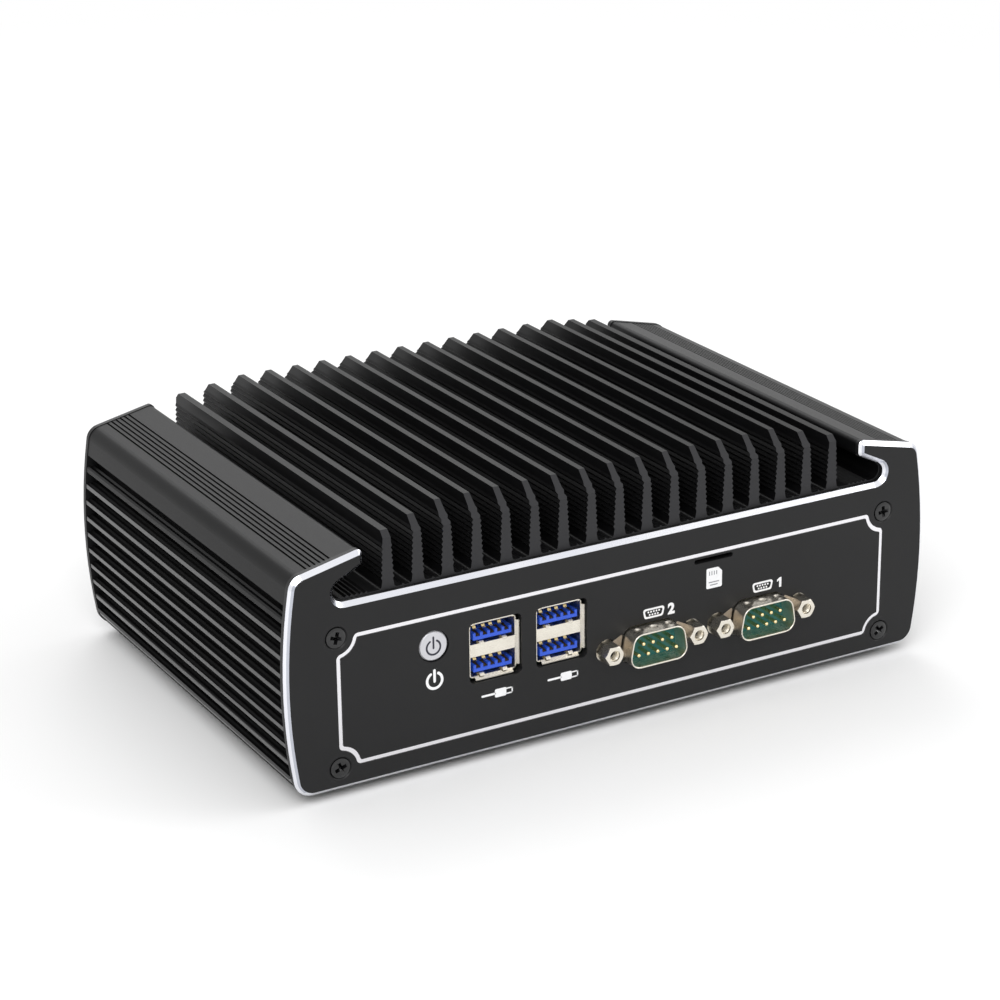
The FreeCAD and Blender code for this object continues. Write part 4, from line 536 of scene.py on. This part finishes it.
def port_prints():
    """Over each serial port: the outline of its plug with its pins, and a numeral."""
    half_width, half_height, slant, pin_radius = 3.3, 1.35, 0.6, 0.26
    aside, above, numeral_aside = 1.3 * MM, 4.95 * MM, 5.2 * MM
    outline = soft_corners([(slant - half_width, -half_height), (half_width - slant, -half_height),
                            (half_width, half_height), (-half_width, half_height)], 0.7)
    inner = [(px * 0.83, pz * 0.62) for px, pz in outline]
    rows = ((0.35, (-1.6, -0.8, 0, 0.8, 1.6)), (-0.4, (-1.2, -0.4, 0.4, 1.2)))
    pins = [ring_points(px, pz, pin_radius, 16) for pz, row in rows for px in row]
    for number, text in ((1, "2"), (2, "1")):
        nuts = f"serial_{number}_jack_nuts"
        x, z = middle(nuts)[0] + aside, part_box(nuts)[1].z + above
        digit = numeral(text, x + numeral_aside, z - half_height * MM, 2 * half_height)
        plates = [inked([outline, inner], x, z), digit] + [inked([pin], x, z) for pin in pins]
        add(f"serial_{number}_print", plates, "white_ink")


def card_print():
    """A small card with a cut corner, contact bars and two plain lines."""
    aside, below_top = 0.25 * MM, 27.93 * MM
    half_width, half_height, cut = 2.35, 2.75, 1.2
    x, z = middle("sim_holder")[0] + aside, PANEL_HIGH.z - below_top
    card = soft_corners([(-half_width, -half_height), (half_width, -half_height),
                         (half_width, half_height - cut), (half_width - cut, half_height),
                         (-half_width, half_height)], 0.4)
    add("card_print", [inked([card], x, z)], "white_ink")
    bars = [bar((i - 2) * 0.72, 1.35, 0.26, 1.1) for i in range(4)]
    lines = [bar(-0.1, -1.1 - 0.75 * i, 3.1 - 0.8 * i, 0.28) for i in range(2)]
    marks = [inked([o], x, z, FACE_Y - INK) for o in bars + lines]
    add("card_print_marks", marks, "grey_ink")


# ---------------------------------------------------------------- USB stacks
TONGUE = 1.84 * MM
TONGUE_TO_FLOOR = 1.0 * MM


def usb_contact(x, mouth, rear, deck):
    """Contact that humps behind the tongue's front and then lies along its deck."""
    start = mouth + 2.7 * MM
    path = [(start - 0.3 * MM, deck + 0.14 * MM)]
    path += hump(start, length=1.4 * MM, base=deck + 0.12 * MM, height=0.75 * MM)
    path += [(rear, deck + 0.3 * MM)]
    return ribbon(x, path, width=0.9 * MM, thickness=0.14 * MM)


def usb_strip(x, mouth, deck):
    """Contact strip that climbs through a notch of the tongue."""
    climb = ((0.1, -0.82), (0.5, -0.55), (1.9, -0.45), (2.6, -0.1))
    path = [(mouth + y * MM, deck + z * MM) for y, z in climb]
    return ribbon(x, path, width=1.16 * MM, thickness=0.08 * MM)


def usb_spring(x, mouth, floor):
    """Shield spring that stands up from a port's floor."""
    path = hump(mouth - 0.75 * MM, length=2.3 * MM, base=floor + 0.04 * MM, height=0.7 * MM)
    return ribbon(x, path, width=1.25 * MM, thickness=0.15 * MM)


def usb_details(number):
    """What shows inside the two ports of a stack, one tongue over the other."""
    low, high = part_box(f"usb_{number}_tongues")
    x, mouth, rear = (low.x + high.x) / 2, low.y, high.y
    decks = (low.z + TONGUE, high.z)
    pads = [usb_contact(x + dx * MM, mouth, rear, deck) for deck in decks for dx in (-3.5, -1.0, 1.0, 3.5)]
    strips = [usb_strip(x + dx * MM, mouth, deck) for deck in decks for dx in (-4, -2, 0, 2, 4)]
    floors = [deck - TONGUE - TONGUE_TO_FLOOR for deck in decks]
    springs = [usb_spring(x + dx * MM, mouth, floor) for floor in floors for dx in (-3.2, 3.2)]
    contacts = add(f"usb_{number}_bent_contacts", pads, "gold_contact", smooth=35)
    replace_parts(contacts, f"usb_{number}_contacts")
    # painted shade: the strips in the notches get the dark gold
    add(f"usb_{number}_strips", strips, "worn_gold", smooth=35)
    add(f"usb_{number}_springs", springs, "nickel", smooth=35)


# ---------------------------------------------------------------- serial ports
NUT_HALF_WIDTH = 2.742 * MM

# Inside of the D shell, its slanted sides' angle, and how the sheet and its root at the flange grow it.
D_HALF_WIDTH = 8.46 * MM
D_HALF_HEIGHT = 4.18 * MM
D_CORNER = 2.5 * MM
D_SLANT = 10
D_WALL = 0.45 * MM
D_ROOT = 0.3 * MM

# Each flat side of a D shell has three pressed dimples in a row.
DIMPLE_PITCH = 4.6 * MM
DIMPLE_BEHIND_RIM = 2.9 * MM
DIMPLE_RADIUS = 1.1 * MM
DIMPLE_DEPTH = 0.55 * MM


def jack_middles(number):
    """Middle of the port and how far its jack nuts stand from it."""
    nuts = f"serial_{number}_jack_nuts"
    low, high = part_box(nuts)
    return *middle(nuts), (high.x - low.x) / 2 - NUT_HALF_WIDTH


def d_outline(x, z, grow):
    """The D's inner outline grown by a distance, wide side down. It always has as many points, with
    enough of them along the flat sides for the dimples."""
    flat_steps, slope_steps = 56, 6
    half_width, half_height = D_HALF_WIDTH + grow, D_HALF_HEIGHT + grow
    top = half_width - 2 * half_height * math.tan(math.radians(D_SLANT))
    corners = [(x - half_width, z - half_height), (x + half_width, z - half_height),
               (x + top, z + half_height), (x - top, z + half_height)]
    rounded = soft_corners(corners, D_CORNER + grow)
    per_corner = len(rounded) // 4
    points = []
    for i in range(4):
        block = rounded[i * per_corner:(i + 1) * per_corner]
        last, after = block[-1], rounded[((i + 1) * per_corner) % len(rounded)]
        steps = slope_steps if i % 2 else flat_steps
        points += block
        points += [(last[0] + (after[0] - last[0]) * k / steps, last[1] + (after[1] - last[1]) * k / steps)
                   for k in range(1, steps)]
    return points


def dimpled(outline, x, z, behind_rim):
    """Outer outline of the D with its flat sides pressed in by a row of three dimples."""
    flat_height = D_HALF_HEIGHT + D_WALL
    points = []
    for px, pz in outline:
        dent = 0.0
        if math.isclose(abs(pz - z), flat_height, abs_tol=0.001 * MM):
            for i in (-1, 0, 1):
                away = math.hypot(px - x - i * DIMPLE_PITCH, behind_rim - DIMPLE_BEHIND_RIM)
                dent = max(dent, DIMPLE_DEPTH * (1 - (away / DIMPLE_RADIUS) ** 2))
        points.append((px, pz - math.copysign(dent, pz - z)))
    return points


def shell_stations(rim, flange, rear):
    """(growth of the inner outline, y): outside from the rear to the rim, over it, and back inside."""
    lip, straight_steps = D_WALL / 2, 36
    stations = [(D_WALL + D_ROOT, rear), (D_WALL + D_ROOT, flange)]
    for i in range(1, 5):
        angle = math.pi / 8 * i
        stations.append((D_WALL + D_ROOT * (1 - math.sin(angle)), flange - D_ROOT * (1 - math.cos(angle))))
    straight = flange - D_ROOT - rim - lip
    stations += [(D_WALL, flange - D_ROOT - straight * i / straight_steps)
                 for i in range(1, straight_steps + 1)]
    for i in range(1, 8):
        angle = math.pi / 8 * i
        stations.append((lip + lip * math.cos(angle), rim + lip - lip * math.sin(angle)))
    return stations + [(0.0, rim + lip), (0.0, rear)]


def serial_shell(number):
    """Drawn D shell with a rolled rim, a rounded root, dimples and its flange."""
    node = f"serial_{number}_shell"
    low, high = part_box(node)
    x, z = middle(node)
    flange_wall, flange_corner, nut_hole = 0.8 * MM, 0.8 * MM, 1.65 * MM
    rim, flange = low.y, high.y - flange_wall
    loops = []
    for grow, y in shell_stations(rim, flange, high.y):
        outline = d_outline(x, z, grow)
        if grow == D_WALL:
            outline = dimpled(outline, x, z, y - rim)
        loops.append([(px, y, pz) for px, pz in outline])
    outside = soft_corners(bar(x, z, high.x - low.x, high.z - low.z), flange_corner)
    inside = d_outline(x, z, D_WALL + D_ROOT)
    reach = jack_middles(number)[2]
    holes = [ring_points(x + side * reach, z, nut_hole) for side in (1, -1)]
    meshes = [loft(loops, closed=True), plate([outside, inside] + holes, flange, flange_wall)]
    shell = add(f"serial_{number}_drawn_shell", meshes, "nickel", smooth=35)
    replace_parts(shell, node)


def serial_pins(number):
    """Pins with domed tips, five below and four above."""
    node = f"serial_{number}_pins"
    low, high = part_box(node)
    x, z = middle(node)
    radius, tip_radius, pitch, half_rise = 0.5 * MM, 0.02 * MM, 2.77 * MM, 1.42 * MM
    angles = [math.pi / 12 * i for i in range(7)]
    dome = [(low.y + radius * (1 - math.cos(a)), max(radius * math.sin(a), tip_radius)) for a in angles]
    rows = ((-1, (-2, -1, 0, 1, 2)), (1, (-1.5, -0.5, 0.5, 1.5)))
    pins = [turned(x + dx * pitch, z + dz * half_rise, dome + [(high.y, radius)], 20)
            for dz, row in rows for dx in row]
    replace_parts(add(f"serial_{number}_domed_pins", pins, "gold_contact", smooth=35), node)


def serial_ears(number):
    """What shows of the flange between the D and its jack nuts, in a darker nickel as painted shade."""
    x, z, reach = jack_middles(number)
    thickness, to_nut = 0.12 * MM, reach - 1.2 * MM
    corners = [(8.95 * MM, -3.2 * MM), (to_nut, -2.0 * MM), (to_nut, 1.9 * MM), (7.95 * MM, 3.6 * MM)]
    ears = []
    for side in (-1, 1):
        outline = soft_corners([(x + side * px, z + pz) for px, pz in corners[::side]], 0.3 * MM)
        ears.append(plate([outline], FACE_Y - thickness, thickness))
    # painted shade: the flange gets the darker nickel
    add(f"serial_{number}_ears", ears, "dull_nickel")


def jack_threads(number):
    """Thread of each jack nut's bore, and a black disc at its bottom as painted shade; depths are behind
    the nut's front.
    """
    x, z, reach = jack_middles(number)
    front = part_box(f"serial_{number}_jack_nuts")[0].y
    start, end, half_pitch = 0.25 * MM, 3.2 * MM, 0.25 * MM
    outer, valley, crest, bottom = 1.41 * MM, 1.38 * MM, 1.22 * MM, 1.2 * MM
    section = [(front + start, outer), (front + end, outer)]
    section += [(front + end - half_pitch * i, valley if i % 2 else crest) for i in range(12)]
    plug = [(front + 2.6 * MM, bottom), (front + 3.1 * MM, bottom)]
    sides = (x - reach, x + reach)
    threads = [turned(side_x, z, section, closed=True) for side_x in sides]
    add(f"serial_{number}_jack_threads", threads, "nickel")
    # painted shade: a black disc deep in each bore stands for the shade there
    bottoms = [turned(side_x, z, plug) for side_x in sides]
    add(f"serial_{number}_jack_bottoms", bottoms, "black_plastic")


def serial_details(number):
    serial_shell(number)
    serial_pins(number)
    serial_ears(number)
    jack_threads(number)


# ---------------------------------------------------------------- panel screws
def cross_points(half_length, half_width):
    """(angle, radius) all round a cross recess, from its middle."""
    corner = math.pi / 4
    arm = math.atan2(half_width, half_length)
    side = (corner + arm) / 2
    end_on = [(angle, half_length / math.cos(angle)) for angle in (-arm, -arm / 2, 0.0, arm / 2, arm)]
    along = [(angle, half_width / math.sin(abs(angle))) for angle in (-corner, -side, side)]
    quarter = along[:2] + end_on + along[2:]
    return [(angle + math.pi / 2 * i, radius) for i in range(4) for angle, radius in quarter]


def panel_screw(x, z, turn, face_y, inward):
    """Countersunk screw with a cross recess, turned by an angle; inward is +1 in front and -1 behind."""
    cross = cross_points(half_length=1.55 * MM, half_width=0.48 * MM)
    # (depth below the panel's face, radius) in mm, from the shank's end to the crown of the head
    body = ((8.1, 1.2), (7.7, 1.45), (1.55, 1.45), (0.42, 2.62), (0.26, 2.6), (0.1, 2.52), (-0.04, 2.25),
            (-0.1, 1.85))
    # (depth in mm, share of the cross) from the recess's mouth to its bottom
    recess = ((-0.1, 1.0), (0.05, 0.93), (0.6, 0.72), (1.3, 0.3))
    rings = [(depth, [(angle, radius * MM) for angle, _ in cross]) for depth, radius in body]
    rings += [(depth, [(angle, radius * share) for angle, radius in cross]) for depth, share in recess]
    return loft([[(x + radius * math.cos(angle + turn), face_y + inward * depth * MM,
                   z + radius * math.sin(angle + turn)) for angle, radius in ring]
                 for depth, ring in rings])


def panel_screws(panel, face_y, inward):
    """Four screws of an end panel, each turned its own way."""
    places = [(side * SCREW_X, z) for side in (-1, 1) for z in SCREW_ZS]
    turns = (0.35, -0.25, 0.6, 0.1)
    screws = [panel_screw(x, z, turn, face_y, inward) for (x, z), turn in zip(places, turns)]
    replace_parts(add(panel + "_cross_screws", screws, "black_screw", smooth=30),
                panel + "_screws")


# ---------------------------------------------------------------- rear ports
def network_contacts(number):
    """Eight spring wires in a network port."""
    pitch, shell_floor = 1.02 * MM, 2.0 * MM
    x = middle(f"network_{number}_insert")[0]
    low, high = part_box(f"network_{number}_shell")
    # (depth behind the mouth, height over the port's floor) in mm
    bends = ((12.4, 3.4), (6.0, 2.6), (3.2, 0.5), (2.6, 0.3))
    path = [(high.y - depth * MM, low.z + shell_floor + rise * MM) for depth, rise in bends]
    wires = [ribbon(x + (i - 3.5) * pitch, path, width=0.45 * MM, thickness=0.25 * MM) for i in range(8)]
    add(f"network_{number}_contacts", wires, "gold_contact")


def pieces():
    power_print()
    plug_prints()
    port_prints()
    card_print()
    for number in (1, 2):
        usb_details(number)
    for number in (1, 2):
        serial_details(number)
    panel_screws("front_panel", FACE_Y, 1)
    panel_screws("rear_panel", REAR_Y, -1)
    for number in (1, 2):
        network_contacts(number)


# ---------------------------------------------------------------- stage
def seen_directly(tree):
    """1 for camera and glossy rays, and 0 for those that only carry light."""
    path = tree.nodes.new("ShaderNodeLightPath")
    seen = tree.nodes.new("ShaderNodeMath")
    seen.operation = "MAXIMUM"
    tree.links.new(path.outputs["Is Camera Ray"], seen.inputs[0])
    tree.links.new(path.outputs["Is Glossy Ray"], seen.inputs[1])
    return seen.outputs[0]


def floor_white():
    """White floor that keeps the part's shadow and turns plain white further out."""
    plain_from, plain_beyond = 0.35, 0.9
    paint = Paint("floor_white", (0.9, 0.9, 0.9), 0.8, specular=0.1)
    away = paint.node("ShaderNodeVectorMath", operation="LENGTH", in0=paint.places.outputs["Object"])
    far = paint.node("ShaderNodeMapRange", in0=away.outputs["Value"], in1=plain_from, in2=plain_beyond,
                     in3=0.0, in4=1.0)
    glow = paint.node("ShaderNodeEmission", in0=(1.0, 1.0, 1.0), in1=1.0)
    share = paint.math("MULTIPLY", seen_directly(paint.tree), far.outputs[0])
    mix = paint.node("ShaderNodeMixShader", in0=share, in1=paint.shader.outputs[0], in2=glow.outputs[0])
    paint.tree.links.new(mix.outputs[0], paint.tree.nodes["Material Output"].inputs["Surface"])
    return paint.material


def lay_floor():
    """Square floor, far larger than the view."""
    half = 6.0
    mesh = bpy.data.meshes.new("floor")
    mesh.from_pydata([(x, y, 0) for x, y in bar(0, 0, 2 * half, 2 * half)], [], [(0, 1, 2, 3)])
    mesh.materials.append(floor_white())
    floor = bpy.data.objects.new("floor", mesh)
    bpy.context.scene.collection.objects.link(floor)


def surroundings():
    """White all round: full white where it is seen, and somewhat less as light."""
    as_light, as_seen = 0.75, 1.0
    world = bpy.data.worlds.new("studio")
    bpy.context.scene.world = world
    world.use_nodes = True
    tree = world.node_tree
    strength = tree.nodes.new("ShaderNodeMapRange")
    strength.inputs["To Min"].default_value = as_light
    strength.inputs["To Max"].default_value = as_seen
    tree.links.new(seen_directly(tree), strength.inputs["Value"])
    back = tree.nodes["Background"]
    back.inputs["Color"].default_value = (1, 1, 1, 1)
    tree.links.new(strength.outputs[0], back.inputs["Strength"])


def lamp(name, place, size, power):
    """Square soft lamp aimed at the middle of the part."""
    aim = Vector((0, 0, 0.03))
    light = bpy.data.lights.new(name, "AREA")
    light.size = size
    light.energy = power
    holder = bpy.data.objects.new(name, light)
    holder.location = place
    holder.rotation_euler = (aim - Vector(place)).to_track_quat("-Z", "Y").to_euler()
    bpy.context.scene.collection.objects.link(holder)


def camera():
    """Camera at the photograph's viewpoint: yaw towards +X, pitch down."""
    place = (-0.34075, -0.60564, 0.3042)
    yaw, pitch, roll = math.radians(31.148), math.radians(20.813), math.radians(0.087)
    data = bpy.data.cameras.new("camera")
    data.sensor_width = 36.0
    data.lens = 101.08
    data.shift_x = -0.0853
    data.shift_y = 0.0035
    data.clip_start = 0.01
    holder = bpy.data.objects.new("camera", data)
    heading = Matrix.Rotation(-yaw, 4, "Z") @ Matrix.Rotation(math.pi / 2 - pitch, 4, "X")
    holder.matrix_world = Matrix.Translation(place) @ heading @ Matrix.Rotation(-roll, 4, "Z")
    bpy.context.scene.collection.objects.link(holder)
    bpy.context.scene.camera = holder


def stage():
    """Pale floor, white surroundings and three soft lamps."""
    lay_floor()
    surroundings()
    lamp("key", (-0.55, -0.75, 0.85), size=0.7, power=7.0)
    lamp("fill", (0.9, -0.45, 0.6), size=0.6, power=2.5)
    lamp("back", (0.2, 0.9, 0.9), size=0.8, power=4.0)


bpy.context.scene.view_settings.view_transform = "Standard"
dress_nodes()
pieces()
stage()
camera()
